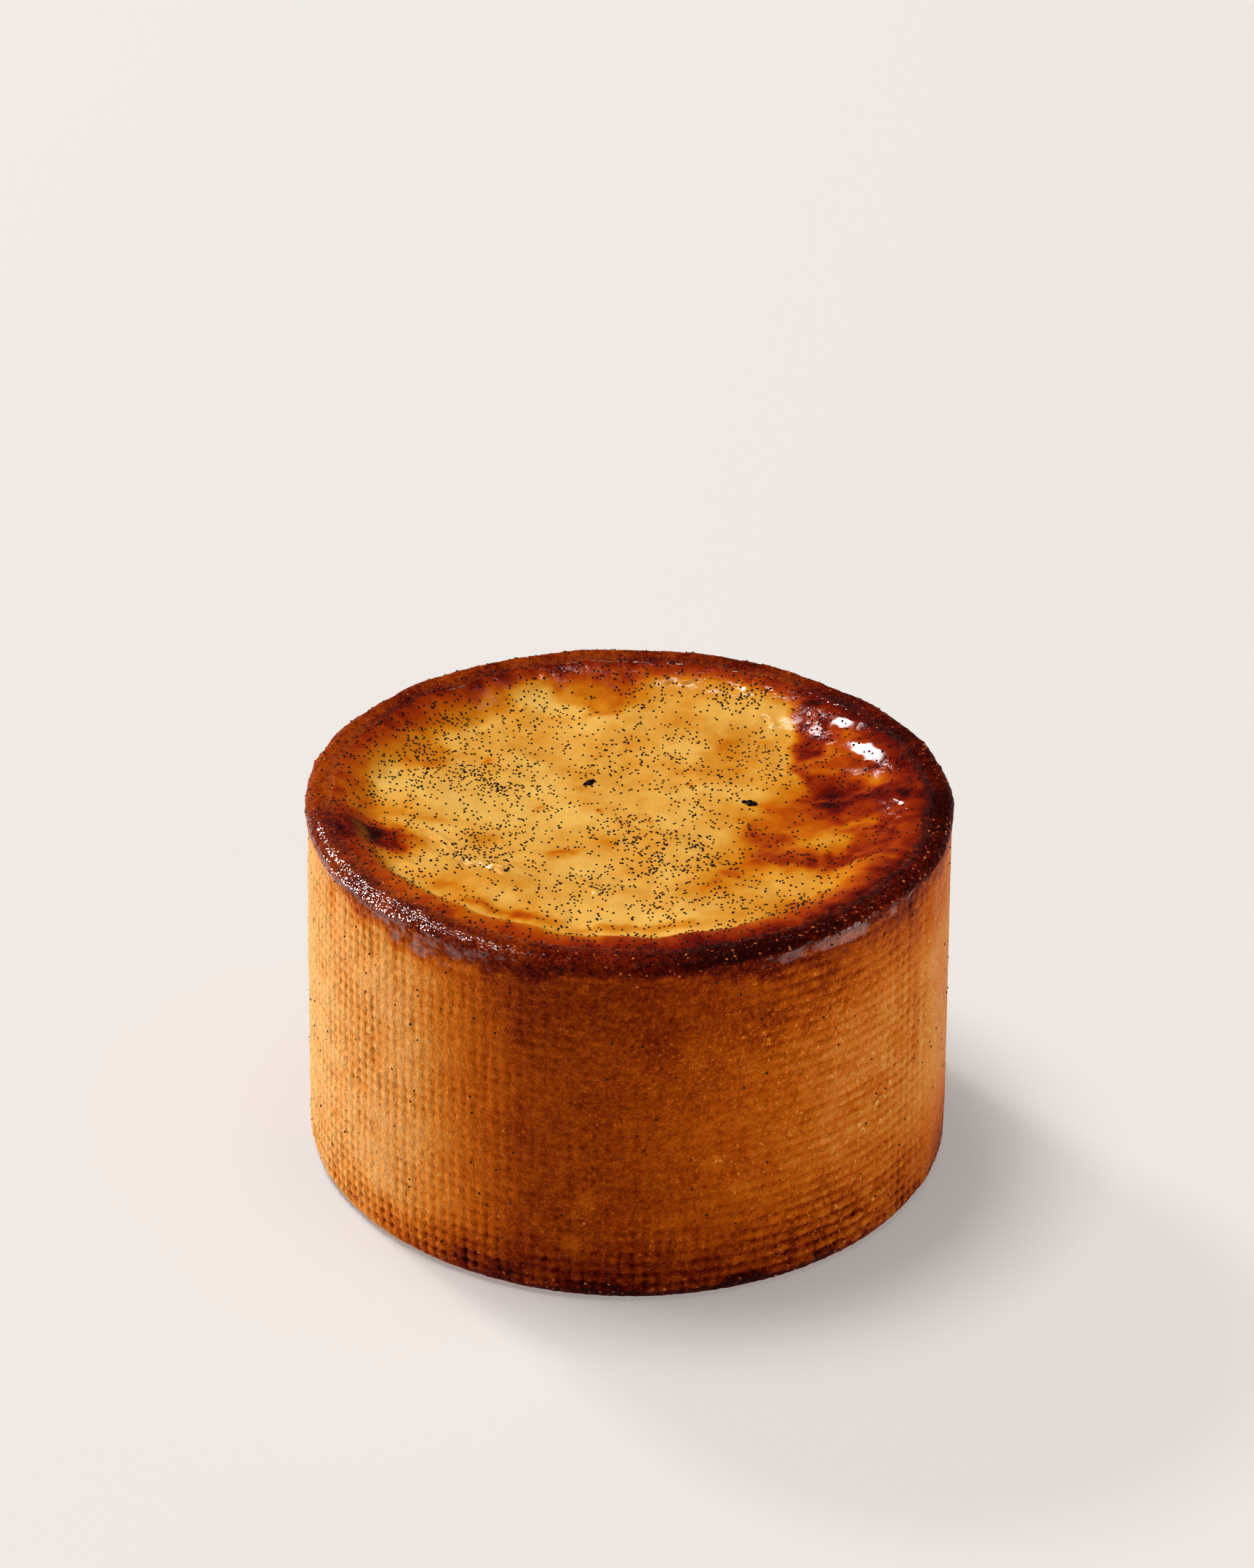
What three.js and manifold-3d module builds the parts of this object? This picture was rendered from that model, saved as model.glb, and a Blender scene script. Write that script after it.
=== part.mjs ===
// An individual baked custard tart (flan patissier): a tall shortcrust case, baked in a straight ring,
// filled to the lip with set vanilla custard whose top has sunk into a shallow, wavy dish.
// Millimetres, +Z up. The origin is the middle of the underside, and the front of the tart faces -Y.
import * as THREE from "three";
import { mergeVertices } from "three/addons/utils/BufferGeometryUtils.js";
import Module from "manifold-3d";

// Pastry case
const CREST_HEIGHT = 47.8; // mean height of the baked lip
const BASE_RADIUS = 40.5; // widest, just above the table
const WALL_RADIUS = 39.7; // just under the lip
const LIP_RADIUS = 40.1; // the lip stands a little proud of the wall
const CRUST_THICKNESS = 3.5;
const FLOOR_THICKNESS = 3.8;
const BASE_EDGE_ROUND = 1.6;
const LIP_RISE = 1.6; // height of the lip's rounded outer side
const LIP_CROWN = 1.8; // from the lip's outer side in to its crest
const INNER_ROUND = 0.8; // height of the lip's rounded inner side
const UNDER_LIP = 1.5; // the stretch where the wall flares out to the lip
const INSIDE_RADIUS = LIP_RADIUS - CRUST_THICKNESS;
const LIP_FOOT = CREST_HEIGHT - LIP_RISE;
const EVEN_BELOW = 0.55 * CREST_HEIGHT; // the rim's unevenness starts above this height

// The lap: where the two ends of the baking strip met, the wall stands out in a step that fades away.
const LAP_AZIMUTH = THREE.MathUtils.degToRad(-25);
const LAP_STEP = 0.25;
const LAP_EDGE = 0.06; // radians over which the step rises
const LAP_LENGTH = THREE.MathUtils.degToRad(34);
const LAP_EVEN_LENGTH = 0.3 * LAP_LENGTH;
const LAP_WHOLE_FROM = 0.15 * CREST_HEIGHT; // heights between which the step is whole
const LAP_WHOLE_UNTIL = 0.93 * CREST_HEIGHT;
const LAP_GONE_AT = 0.99 * CREST_HEIGHT;

// Custard
const FIT_GAP = 0.3; // clearance between custard and crust
const SHOULDER_DROP = 0.2; // the puffed edge of the custard below the crest
const SHOULDER_ROUND = 0.5; // how far that edge turns down where it meets the crust
const DISH_DEPTH = 3.0; // how far the top sinks from its edge to its middle
const DISH_RADIUS = 32.75; // middle of the slope from the edge down into the dish
const DISH_SOFTNESS = 1.35; // how gently that slope turns
const MIDDLE_SAG = 0.4;
const CUSTARD_EDGE = INSIDE_RADIUS - FIT_GAP;
const RIM_WAVES_FROM = 0.3 * DISH_RADIUS; // the rim's waves reach in to here
const SWELLS_WHOLE_TO = DISH_RADIUS - 3;
const SWELLS_GONE_AT = DISH_RADIUS + 2.5;

// Vanilla
const SEED_COUNT = 84;
const SEED_FIELD_RADIUS = 31.5;
const SEED_LONG = { least: 0.65, more: 0.3 };
const SEED_WIDE = { least: 0.5, more: 0.14 };
const SEED_NUDGE = 1.2; // how far in a seed may lie from its place on the spiral
const SEED_TURN = 0.25; // and how far round, in radians
const SPECK_LIFT = 0.12; // how far a speck's middle stands above the skin, in widths
const POD_FLECKS = [
  { x: -4.9, y: 8.6, long: 1.25, wide: 0.8, turn: 0.35 },
  { x: 15.0, y: 3.9, long: 1.35, wide: 0.75, turn: -0.2 },
];

const SEGMENTS = 96;
const TOP_RINGS = 14;
const RING_CROWDING = 1.6; // rings lie closer where the edge turns down into the dish
const WALL_ROWS = 7;
const ARC_STEPS = 3; // a round stretch of the outline has twice as many
const SAME_PLACE = 1e-3; // points this close are one

// Waves round the rim: how many to a turn, how high, and where the first crest of each lies.
const CREST_WAVES = [
  { count: 1, height: 0.42, at: 2.3 },
  { count: 2, height: 0.14, at: 0.4 },
  { count: 5, height: 0.1, at: 1.1 },
  { count: 11, height: 0.07, at: 0.2 },
  { count: 19, height: 0.06, at: 0.9 },
];
const RADIUS_WAVES = [
  { count: 3, height: 0.12, at: 0.7 },
  { count: 7, height: 0.06, at: 2.0 },
  { count: 17, height: 0.05, at: 0.3 },
];

// The dish's edge lies farther out at the back left, and its slope is gentlest at the back right.
const DISH_RADIUS_WAVES = [{ count: 1, height: 1.3, at: 2.33 }];
const DISH_SOFTNESS_WAVES = [{ count: 1, height: 0.64, at: 0.785 }];

// Radial wrinkles where the custard shrank back from its edge.
const FOLD_WAVES = [
  { count: 8, height: 0.12, at: 2.6 },
  { count: 13, height: 0.12, at: 0.5 },
  { count: 22, height: 0.08, at: 1.7 },
];
const FOLD_RADIUS = 31.5; // where the wrinkles are deepest
const FOLD_REACH = 3.2;

// Broad swells and hollows of the custard: place, reach along and across, turn, and height.
const SWELLS = [
  { x: 27, y: 14, along: 9, across: 3.4, turn: 0.75, height: 0.75 },
  { x: 21, y: 19, along: 6, across: 4, turn: -0.4, height: -0.45 },
  { x: 24, y: -8, along: 10, across: 4, turn: 0.9, height: 0.6 },
  { x: 14, y: -3, along: 8, across: 6, turn: 0.2, height: -0.35 },
  { x: 2, y: 24, along: 9, across: 4, turn: 0.1, height: 0.5 },
  { x: -10, y: 17, along: 9, across: 5, turn: -0.5, height: -0.3 },
  { x: -25, y: 3, along: 8, across: 5, turn: 1.3, height: 0.4 },
  { x: -18, y: -15, along: 11, across: 3, turn: -0.6, height: 0.5 },
  { x: -4, y: -12, along: 12, across: 5, turn: -0.15, height: -0.25 },
  { x: 6, y: -24, along: 10, across: 3.5, turn: 0.1, height: 0.35 },
];

// A repeatable stream of numbers from 0 to 1 (mulberry32).
function seededRandom(seed) {
  let state = seed;
  return () => {
    state = (state + 0x6d2b79f5) | 0;
    let t = Math.imul(state ^ (state >>> 15), 1 | state);
    t = (t + Math.imul(t ^ (t >>> 7), 61 | t)) ^ t;
    return ((t ^ (t >>> 14)) >>> 0) / 4294967296;
  };
}

function waves(list, azimuth) {
  return list.reduce((sum, w) => sum + w.height * Math.cos(w.count * azimuth - w.at), 0);
}

function smoothstep(from, to, value) {
  return THREE.MathUtils.smoothstep(value, from, to);
}

// The strip's end laps over its start, so the wall there was pressed in by one more layer.
function lapOffset(azimuth) {
  const past = THREE.MathUtils.euclideanModulo(azimuth - LAP_AZIMUTH, 2 * Math.PI);
  const rise = smoothstep(0, LAP_EDGE, past);
  const fade = 1 - smoothstep(LAP_EVEN_LENGTH, LAP_LENGTH, past);
  return LAP_STEP * rise * fade;
}

function swellHeight(x, y) {
  return SWELLS.reduce((sum, s) => {
    const dx = x - s.x;
    const dy = y - s.y;
    const u = (dx * Math.cos(s.turn) + dy * Math.sin(s.turn)) / s.along;
    const v = (dy * Math.cos(s.turn) - dx * Math.sin(s.turn)) / s.across;
    return sum + s.height * Math.exp(-(u * u + v * v));
  }, 0);
}

// Height of the custard's top at a radius as it stood when puffed up, before it sank.
function puffedHeight(radius) {
  const turnDown = SHOULDER_ROUND * Math.exp(-(CUSTARD_EDGE - radius) / SHOULDER_ROUND);
  return CREST_HEIGHT - SHOULDER_DROP - turnDown;
}

// How far the top then sank at a place.
function sunk(radius, azimuth) {
  const edge = DISH_RADIUS + waves(DISH_RADIUS_WAVES, azimuth);
  const softness = DISH_SOFTNESS + waves(DISH_SOFTNESS_WAVES, azimuth);
  const sag = MIDDLE_SAG * Math.max(0, 1 - (radius / DISH_RADIUS) ** 2);
  return DISH_DEPTH / (1 + Math.exp((radius - edge) / softness)) + sag;
}

// What the sinking, the rim's waves, the wrinkles and the swells make of it at a place.
function custardRelief(x, y) {
  const radius = Math.hypot(x, y);
  const azimuth = Math.atan2(y, x);
  const nearRim = smoothstep(RIM_WAVES_FROM, DISH_RADIUS, radius);
  const inDish = 1 - smoothstep(SWELLS_WHOLE_TO, SWELLS_GONE_AT, radius);
  const folds = Math.exp(-(((radius - FOLD_RADIUS) / FOLD_REACH) ** 2)) * waves(FOLD_WAVES, azimuth);
  return nearRim * waves(CREST_WAVES, azimuth) + inDish * swellHeight(x, y) + folds - sunk(radius, azimuth);
}

// The outline of the case from the middle of its underside round to the middle of its floor.
function crustOutline() {
  const outline = new THREE.Path();
  const crest = LIP_RADIUS - LIP_CROWN;
  const wallTop = LIP_FOOT - UNDER_LIP;
  const innerFoot = CREST_HEIGHT - INNER_ROUND;
  outline.moveTo(0, 0);
  outline.lineTo(BASE_RADIUS - BASE_EDGE_ROUND, 0);
  outline.absarc(BASE_RADIUS - BASE_EDGE_ROUND, BASE_EDGE_ROUND, BASE_EDGE_ROUND, -Math.PI / 2, 0, false);
  for (let row = 1; row <= WALL_ROWS; row++) {
    const up = row / WALL_ROWS;
    const radius = THREE.MathUtils.lerp(BASE_RADIUS, WALL_RADIUS, up);
    outline.lineTo(radius, THREE.MathUtils.lerp(BASE_EDGE_ROUND, wallTop, up));
  }
  outline.lineTo(LIP_RADIUS, LIP_FOOT);
  outline.absellipse(crest, LIP_FOOT, LIP_CROWN, LIP_RISE, 0, Math.PI / 2, false);
  outline.absellipse(crest, innerFoot, crest - INSIDE_RADIUS, INNER_ROUND, Math.PI / 2, Math.PI, false);
  outline.lineTo(INSIDE_RADIUS, wallTop);
  outline.lineTo(BASE_RADIUS - CRUST_THICKNESS, FLOOR_THICKNESS);
  outline.lineTo(0, FLOOR_THICKNESS);
  return outline.getPoints(ARC_STEPS);
}

// The outline of the custard from the middle of its underside, up its side and in along its top.
function custardOutline() {
  const floor = FLOOR_THICKNESS + FIT_GAP;
  const points = [
    new THREE.Vector2(0, floor),
    new THREE.Vector2(BASE_RADIUS - CRUST_THICKNESS - FIT_GAP, floor),
    new THREE.Vector2(CUSTARD_EDGE, LIP_FOOT - UNDER_LIP),
  ];
  for (let ring = 0; ring <= TOP_RINGS; ring++) {
    const inward = ring / TOP_RINGS;
    const radius = CUSTARD_EDGE * (1 - inward ** RING_CROWDING);
    points.push(new THREE.Vector2(radius, puffedHeight(radius)));
  }
  return points;
}

// Turns an outline about +Z, then moves each vertex by shape(x, y, z), which returns the new point.
function turned(outline, shape) {
  const geometry = new THREE.LatheGeometry(outline, SEGMENTS).rotateX(Math.PI / 2);
  const position = geometry.getAttribute("position");
  for (let i = 0; i < position.count; i++) {
    const moved = shape(position.getX(i), position.getY(i), position.getZ(i));
    position.setXYZ(i, ...moved);
  }
  geometry.deleteAttribute("uv");
  geometry.deleteAttribute("normal");
  return mergeVertices(geometry, SAME_PLACE);
}

// How much of the rim's unevenness reaches a height: none low down, all of it at the lip.
function share(height) {
  return smoothstep(EVEN_BELOW, LIP_FOOT, height);
}

// The crust's outer side follows the rim's waves and the lap. Its inner side stays round.
function crustGeometry() {
  return turned(crustOutline(), (x, y, z) => {
    const radius = Math.hypot(x, y);
    if (radius < SAME_PLACE) return [x, y, z];
    const azimuth = Math.atan2(y, x);
    const onWall = smoothstep(0, LAP_WHOLE_FROM, z) * (1 - smoothstep(LAP_WHOLE_UNTIL, LAP_GONE_AT, z));
    const outward = (radius - INSIDE_RADIUS) / CRUST_THICKNESS; // 0 at the crust's inner side, 1 at its outer
    const out = share(z) * waves(RADIUS_WAVES, azimuth) + onWall * lapOffset(azimuth);
    const scale = 1 + (out * smoothstep(0.25, 0.75, outward)) / radius;
    return [x * scale, y * scale, z + share(z) * waves(CREST_WAVES, azimuth)];
  });
}

function custardGeometry() {
  return turned(custardOutline(), (x, y, z) => [x, y, z + share(z) * custardRelief(x, y)]);
}

// One speck of vanilla: a low, long pebble, half sunk in the custard.
function speckGeometry({ x, y, long, wide, turn }) {
  const speck = new THREE.IcosahedronGeometry(1, 0);
  speck.scale(long / 2, wide / 2, wide / 2);
  speck.rotateZ(turn);
  speck.translate(x, y, puffedHeight(Math.hypot(x, y)) + custardRelief(x, y) + SPECK_LIFT * wide);
  speck.deleteAttribute("uv");
  speck.deleteAttribute("normal");
  return mergeVertices(speck, SAME_PLACE);
}

// The largest seeds, spread by a spiral that fills the dish evenly, each nudged at random.
function seedSpecks() {
  const random = seededRandom(7);
  const goldenTurn = Math.PI * (3 - Math.sqrt(5));
  const specks = [];
  for (let i = 0; i < SEED_COUNT; i++) {
    const radius = SEED_FIELD_RADIUS * Math.sqrt((i + 0.5) / SEED_COUNT) - SEED_NUDGE * random();
    const azimuth = i * goldenTurn + SEED_TURN * (random() - 0.5);
    specks.push({
      x: radius * Math.cos(azimuth),
      y: radius * Math.sin(azimuth),
      long: SEED_LONG.least + SEED_LONG.more * random(),
      wide: SEED_WIDE.least + SEED_WIDE.more * random(),
      turn: Math.PI * random(),
    });
  }
  return specks;
}

const wasm = await Module();
wasm.setup();

function toSolid(geometry) {
  const corners = geometry.index.array;
  const kept = [];
  for (let i = 0; i < corners.length; i += 3) {
    const [a, b, c] = [corners[i], corners[i + 1], corners[i + 2]];
    if (a !== b && b !== c && c !== a) kept.push(a, b, c);
  }
  const vertProperties = new Float32Array(geometry.getAttribute("position").array);
  return new wasm.Manifold(new wasm.Mesh({ numProp: 3, vertProperties, triVerts: new Uint32Array(kept) }));
}

function toGeometry(solid) {
  const mesh = solid.getMesh();
  const geometry = new THREE.BufferGeometry();
  geometry.setAttribute("position", new THREE.BufferAttribute(new Float32Array(mesh.vertProperties), 3));
  geometry.setIndex(new THREE.BufferAttribute(new Uint32Array(mesh.triVerts), 1));
  geometry.computeVertexNormals();
  return geometry;
}

const pastry = new THREE.MeshStandardMaterial({ color: 0xc0702c, roughness: 0.75, metalness: 0 });
const custardSkin = new THREE.MeshStandardMaterial({ color: 0xe3a437, roughness: 0.25, metalness: 0 });

const crust = new THREE.Mesh(toGeometry(toSolid(crustGeometry())), pastry);
crust.name = "pastry_case";

const specks = [...POD_FLECKS, ...seedSpecks()];
const fused = (solid, speck) => solid.add(toSolid(speckGeometry(speck)));
const filling = specks.reduce(fused, toSolid(custardGeometry()));
const custard = new THREE.Mesh(toGeometry(filling), custardSkin);
custard.name = "custard_filling";

const tart = new THREE.Group();
tart.add(crust, custard);
export default tart;
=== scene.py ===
import math

import bmesh
import bpy
import numpy as np
from mathutils import Matrix, Vector


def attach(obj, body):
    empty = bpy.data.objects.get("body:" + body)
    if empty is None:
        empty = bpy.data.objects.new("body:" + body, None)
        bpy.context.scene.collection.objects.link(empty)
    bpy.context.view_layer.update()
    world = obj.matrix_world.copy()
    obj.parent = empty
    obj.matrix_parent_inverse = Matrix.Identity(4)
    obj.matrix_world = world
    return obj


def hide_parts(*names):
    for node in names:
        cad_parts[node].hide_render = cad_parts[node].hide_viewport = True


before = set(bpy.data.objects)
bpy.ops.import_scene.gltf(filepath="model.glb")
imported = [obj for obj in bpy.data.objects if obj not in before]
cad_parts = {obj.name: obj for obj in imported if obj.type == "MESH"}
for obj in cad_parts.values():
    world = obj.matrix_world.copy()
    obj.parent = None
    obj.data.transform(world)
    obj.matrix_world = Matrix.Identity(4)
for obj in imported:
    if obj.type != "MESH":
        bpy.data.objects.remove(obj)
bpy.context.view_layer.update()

# ---------------------------------------------------------------------------
# Pastry case. A tall cup of shortcrust, baked in a straight ring lined with a woven baking strip.
# The weave has pressed rows of small nubs into its side, and the strip's ends lap at the right.
# Its lip is browned and glazed, darkest at the right, and its foot is dark between the nubs.
# Its colour also has painted light: paler at the left where the low lamp falls, darker at the front in its
# shade, darker in the weave's grooves, and pale glints on the crumb.
# ---------------------------------------------------------------------------
MM = 0.001
CREST_HEIGHT = 47.8 * MM
BASE_RADIUS = 40.42 * MM
WALL_RADIUS = 39.75 * MM
LIP_RADIUS = 40.0 * MM
CRUST_THICKNESS = 3.5 * MM
FLOOR_THICKNESS = 3.8 * MM
BASE_EDGE_ROUND = 1.6 * MM
CREST_TRIM = 0.1 * MM
UNDER_LIP = 1.5 * MM
INSIDE_RADIUS = LIP_RADIUS - CRUST_THICKNESS
BURIED_EDGE = 0.3 * MM
LIP_SQUARENESS = 2.3
LIP_POINTS = 11
BASE_EDGE_POINTS = 5
UNDERSIDE_RINGS = 4
INSIDE_RINGS = 3
INNERMOST_RING = 2 * MM
# The lip is a broad round shoulder at the front left and a narrow one elsewhere: how far in and how tall.
NARROW_LIP = (1.6 * MM, 1.4 * MM)
BROAD_LIP = (3.0 * MM, 2.1 * MM)
BROAD_AT = -148
BROAD_REACH = 62
LIP_FOOT = CREST_HEIGHT - NARROW_LIP[1]
EVEN_WALL_TOP = 44.6 * MM
LAP_AZIMUTH = math.radians(-25)
LAP_STEP = 0.25 * MM
LAP_LENGTH = math.radians(34)
LAP_RISES_WITHIN = 0.06
UNEVEN_FROM = 0.55 * CREST_HEIGHT
FOOT_TRIM = 0.35 * MM
FOOT_TRIM_REACH = 5 * MM

# Waves round the rim: how many to a turn, how high, and where the first crest of each lies.
CREST_WAVES = [
    (1, 0.36 * MM, 2.3),
    (2, 0.14 * MM, 0.4),
    (5, 0.1 * MM, 1.1),
    (11, 0.07 * MM, 0.2),
    (19, 0.06 * MM, 0.9),
]
RADIUS_WAVES = [(3, 0.12 * MM, 0.7), (7, 0.06 * MM, 2.0), (17, 0.05 * MM, 0.3)]

# The dish that the top sank into. Its edge lies farther out at the back left, and is steepest at the front.
DISH_DEPTH = 3.0 * MM
DISH_RADIUS = 32.75 * MM
DISH_RADIUS_WAVES = [(1, 1.3 * MM, 2.33)]
DISH_SOFTNESS = 1.35 * MM
DISH_SOFTNESS_WAVES = [(1, 0.64 * MM, 0.785)]
STEEPER_AT_FRONT = 0.35 * MM
GENTLER_AT_BACK = 0.5 * MM

WEAVE_COLUMNS = 168
WEAVE_PITCH = 2 * math.pi * LIP_RADIUS / WEAVE_COLUMNS
POINTS_PER_COLUMN = 4
POINTS_PER_ROW = 4
NUB_HEIGHT = 0.3 * MM
CRUMB_HEIGHT = 0.3 * MM
CLEAR_OF_TABLE = 0.2 * MM
CASE_SEGMENTS = WEAVE_COLUMNS * POINTS_PER_COLUMN


def smoothstep(low, high, value):
    """0 below the low value and 1 above the high one, with a smooth rise between them."""
    t = np.clip((value - low) / (high - low), 0, 1)
    return t * t * (3 - 2 * t)


def waves(table, azimuth):
    """The sum of the waves in a table at an azimuth in radians."""
    return sum(height * np.cos(count * azimuth - at) for count, height, at in table)


def turn_between(azimuth, centre):
    """How far round the tart an azimuth is from a centre given in degrees: from -180 to 180 degrees."""
    return (np.degrees(azimuth) - centre + 180) % 360 - 180


def hump(azimuth, centre, reach):
    """1 at a centre, given in degrees, and soft to 0 at the reach on both sides."""
    return 1 - smoothstep(0, reach, np.abs(turn_between(azimuth, centre)))


def soft_noise(u, v, cell, seed, wrap=None):
    """Smooth random hills from -1 to 1, one to each cell. With wrap, they repeat after that many cells."""
    grid = np.random.default_rng(seed).uniform(-1, 1, (512, 512))
    fu = np.floor(u / cell)
    fv = np.floor(v / cell)
    tu = smoothstep(0, 1, u / cell - fu)
    tv = smoothstep(0, 1, v / cell - fv)
    period = wrap or 512
    iu = fu.astype(int) % period
    ju = (iu + 1) % period
    iv = fv.astype(int) % 512
    jv = (iv + 1) % 512
    low = grid[iu, iv] * (1 - tu) + grid[ju, iv] * tu
    high = grid[iu, jv] * (1 - tu) + grid[ju, jv] * tu
    return low * (1 - tv) + high * tv


def read_round(table, degrees):
    """The value at a place round the tart, from a table of (azimuth, value) that runs from -180 to 180."""
    return np.interp(degrees, *zip(*table))


def dish_drop(radius, azimuth):
    """How far the top has sunk below the crest: next to nothing at the rim, all of it in the dish."""
    edge = DISH_RADIUS + waves(DISH_RADIUS_WAVES, azimuth)
    softness = DISH_SOFTNESS + waves(DISH_SOFTNESS_WAVES, azimuth)
    softness += GENTLER_AT_BACK * hump(azimuth, 85, 60) - STEEPER_AT_FRONT * hump(azimuth, -90, 80)
    return DISH_DEPTH / (1 + np.exp((radius - edge) / softness))


def share(height):
    """How much of the rim's unevenness reaches a height: none low down, all of it at the lip."""
    return smoothstep(UNEVEN_FROM, LIP_FOOT, height)


def lap_offset(azimuth):
    """How far the wall stands out where the strip's ends lap: a sharp step, then a slow return."""
    past = (azimuth - LAP_AZIMUTH) % (2 * math.pi)
    step = smoothstep(0, LAP_RISES_WITHIN, past)
    return LAP_STEP * step * (1 - smoothstep(0.3 * LAP_LENGTH, LAP_LENGTH, past))


def placed(name, mesh):
    """A mesh as a new object in the scene, at the origin."""
    piece = bpy.data.objects.new(name, mesh)
    bpy.context.scene.collection.objects.link(piece)
    return piece


def turned_mesh(name, rings):
    """A closed mesh through rings of points, with a pole inside the first ring and one inside the last."""
    rows, segments, _ = rings.shape
    index = np.arange(rows * segments).reshape(rows, segments)
    beside = np.roll(index, -1, axis=1)
    quads = np.stack([index[:-1], beside[:-1], beside[1:], index[1:]], axis=-1).reshape(-1, 4)
    first_pole = rows * segments
    last_pole = first_pole + 1
    poles = [rings[0].mean(axis=0), rings[-1].mean(axis=0)]
    fans = [(first_pole, b, a) for a, b in zip(index[0], beside[0])]
    fans += [(last_pole, a, b) for a, b in zip(index[-1], beside[-1])]
    mesh = bpy.data.meshes.new(name)
    mesh.from_pydata(np.vstack([rings.reshape(-1, 3), poles]).tolist(), [], quads.tolist() + fans)
    mesh.shade_smooth()
    return placed(name, mesh)


def store(piece, name, values):
    """A number for each vertex, kept on the mesh under a name. The two poles take the nearest ring's."""
    flat = np.concatenate([values.ravel(), [values[0].mean(), values[-1].mean()]])
    piece.data.attributes.new(name, "FLOAT", "POINT").data.foreach_set("value", flat.astype(np.float32))


def arc(centre_radius, centre_height, across, up, start, end, steps, squareness=2):
    """Points along part of an oval. A squareness over 2 makes its corner tighter."""
    points = []
    for turn in np.radians(np.linspace(start, end, steps + 1))[1:]:
        cos, sin = math.cos(turn), math.sin(turn)
        reach = abs(cos) ** (2 / squareness) * np.sign(cos)
        rise = abs(sin) ** (2 / squareness) * np.sign(sin)
        points.append((centre_radius + across * reach, centre_height + up * rise))
    return points


def case_outline(crown, rise):
    """Radii and heights from near the middle of the underside, up the wall, over the lip and down inside."""
    foot = CREST_HEIGHT - rise
    crest = LIP_RADIUS - crown
    top = CREST_HEIGHT - CREST_TRIM
    flat_radius = BASE_RADIUS - BASE_EDGE_ROUND
    outline = [(radius, 0) for radius in np.linspace(INNERMOST_RING, flat_radius, UNDERSIDE_RINGS)]
    outline += arc(flat_radius, BASE_EDGE_ROUND, BASE_EDGE_ROUND, BASE_EDGE_ROUND, -90, 0, BASE_EDGE_POINTS)
    even_heights = np.arange(BASE_EDGE_ROUND, EVEN_WALL_TOP, WEAVE_PITCH / POINTS_PER_ROW)[1:]
    heights = np.concatenate([even_heights, np.linspace(EVEN_WALL_TOP, foot, 4)[1:]])
    bends = [BASE_EDGE_ROUND, EVEN_WALL_TOP, foot]
    outline += list(zip(np.interp(heights, bends, [BASE_RADIUS, WALL_RADIUS, LIP_RADIUS]), heights))
    outline += arc(crest, foot, crown, rise - CREST_TRIM, 0, 90, LIP_POINTS, LIP_SQUARENESS)
    outline += [(radius, top) for radius in np.linspace(crest, INSIDE_RADIUS - BURIED_EDGE, 7)[1:]]
    outline += [(INSIDE_RADIUS, foot - UNDER_LIP), (BASE_RADIUS - CRUST_THICKNESS, FLOOR_THICKNESS)]
    outline += [(INNERMOST_RING, FLOOR_THICKNESS)]
    return np.array(outline)


around = np.arange(CASE_SEGMENTS) * 2 * math.pi / CASE_SEGMENTS
narrow_rows = case_outline(*NARROW_LIP)[:, None, :]
broad_rows = case_outline(*BROAD_LIP)[:, None, :]
broad = hump(around, BROAD_AT, BROAD_REACH)[None, :, None]
case_radius, case_height = np.moveaxis(narrow_rows * (1 - broad) + broad_rows * broad, 2, 0)
case_azimuth = around[None, :] + 0 * case_radius
row_number = np.arange(len(case_radius))[:, None] + 0 * case_azimuth
underside = row_number < UNDERSIDE_RINGS
buried = row_number >= len(case_radius) - INSIDE_RINGS
along = case_azimuth * LIP_RADIUS
outside = case_radius > LIP_RADIUS - 1.2 * CRUST_THICKNESS
beyond_inside = smoothstep(0.25, 0.75, (case_radius - INSIDE_RADIUS) / CRUST_THICKNESS)
share_of_height = case_height / CREST_HEIGHT
on_wall = smoothstep(0, 0.15, share_of_height) * (1 - smoothstep(0.93, 0.99, share_of_height))
lip_foot = LIP_FOOT - (BROAD_LIP[1] - NARROW_LIP[1]) * broad[:, :, 0]
LIP_TURN = 2 * math.pi * LIP_RADIUS


def round_noise(cells, seed):
    """Soft noise over the case that joins up round it, with so many cells to a turn."""
    return soft_noise(along, case_height, LIP_TURN / cells, seed, cells)


patchy = round_noise(42, 3)
fine_patchy = round_noise(126, 5)
lip_edge = lip_foot + (0.1 + 0.25 * patchy + 0.2 * fine_patchy) * MM
on_lip = smoothstep(-0.25 * MM, 0.25 * MM, case_height - lip_edge) * ~buried
lip_lumps = on_lip * outside * MM * (0.1 * round_noise(84, 11) + 0.1 * round_noise(240, 12))
foot_trim = FOOT_TRIM * (1 - smoothstep(0, FOOT_TRIM_REACH, case_height)) * hump(case_azimuth, -130, 45)
out = outside * beyond_inside * (
    share(case_height) * waves(RADIUS_WAVES, case_azimuth)
    + on_wall * lap_offset(case_azimuth)
) + lip_lumps - foot_trim * outside
sunk = dish_drop(case_radius, case_azimuth) * ~buried
case_points = np.stack([
    (case_radius + out) * np.cos(case_azimuth),
    (case_radius + out) * np.sin(case_azimuth),
    case_height + share(case_height) * (waves(CREST_WAVES, case_azimuth) - sunk),
], axis=-1)
plain_case = turned_mesh("plain_case", case_points)
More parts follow.
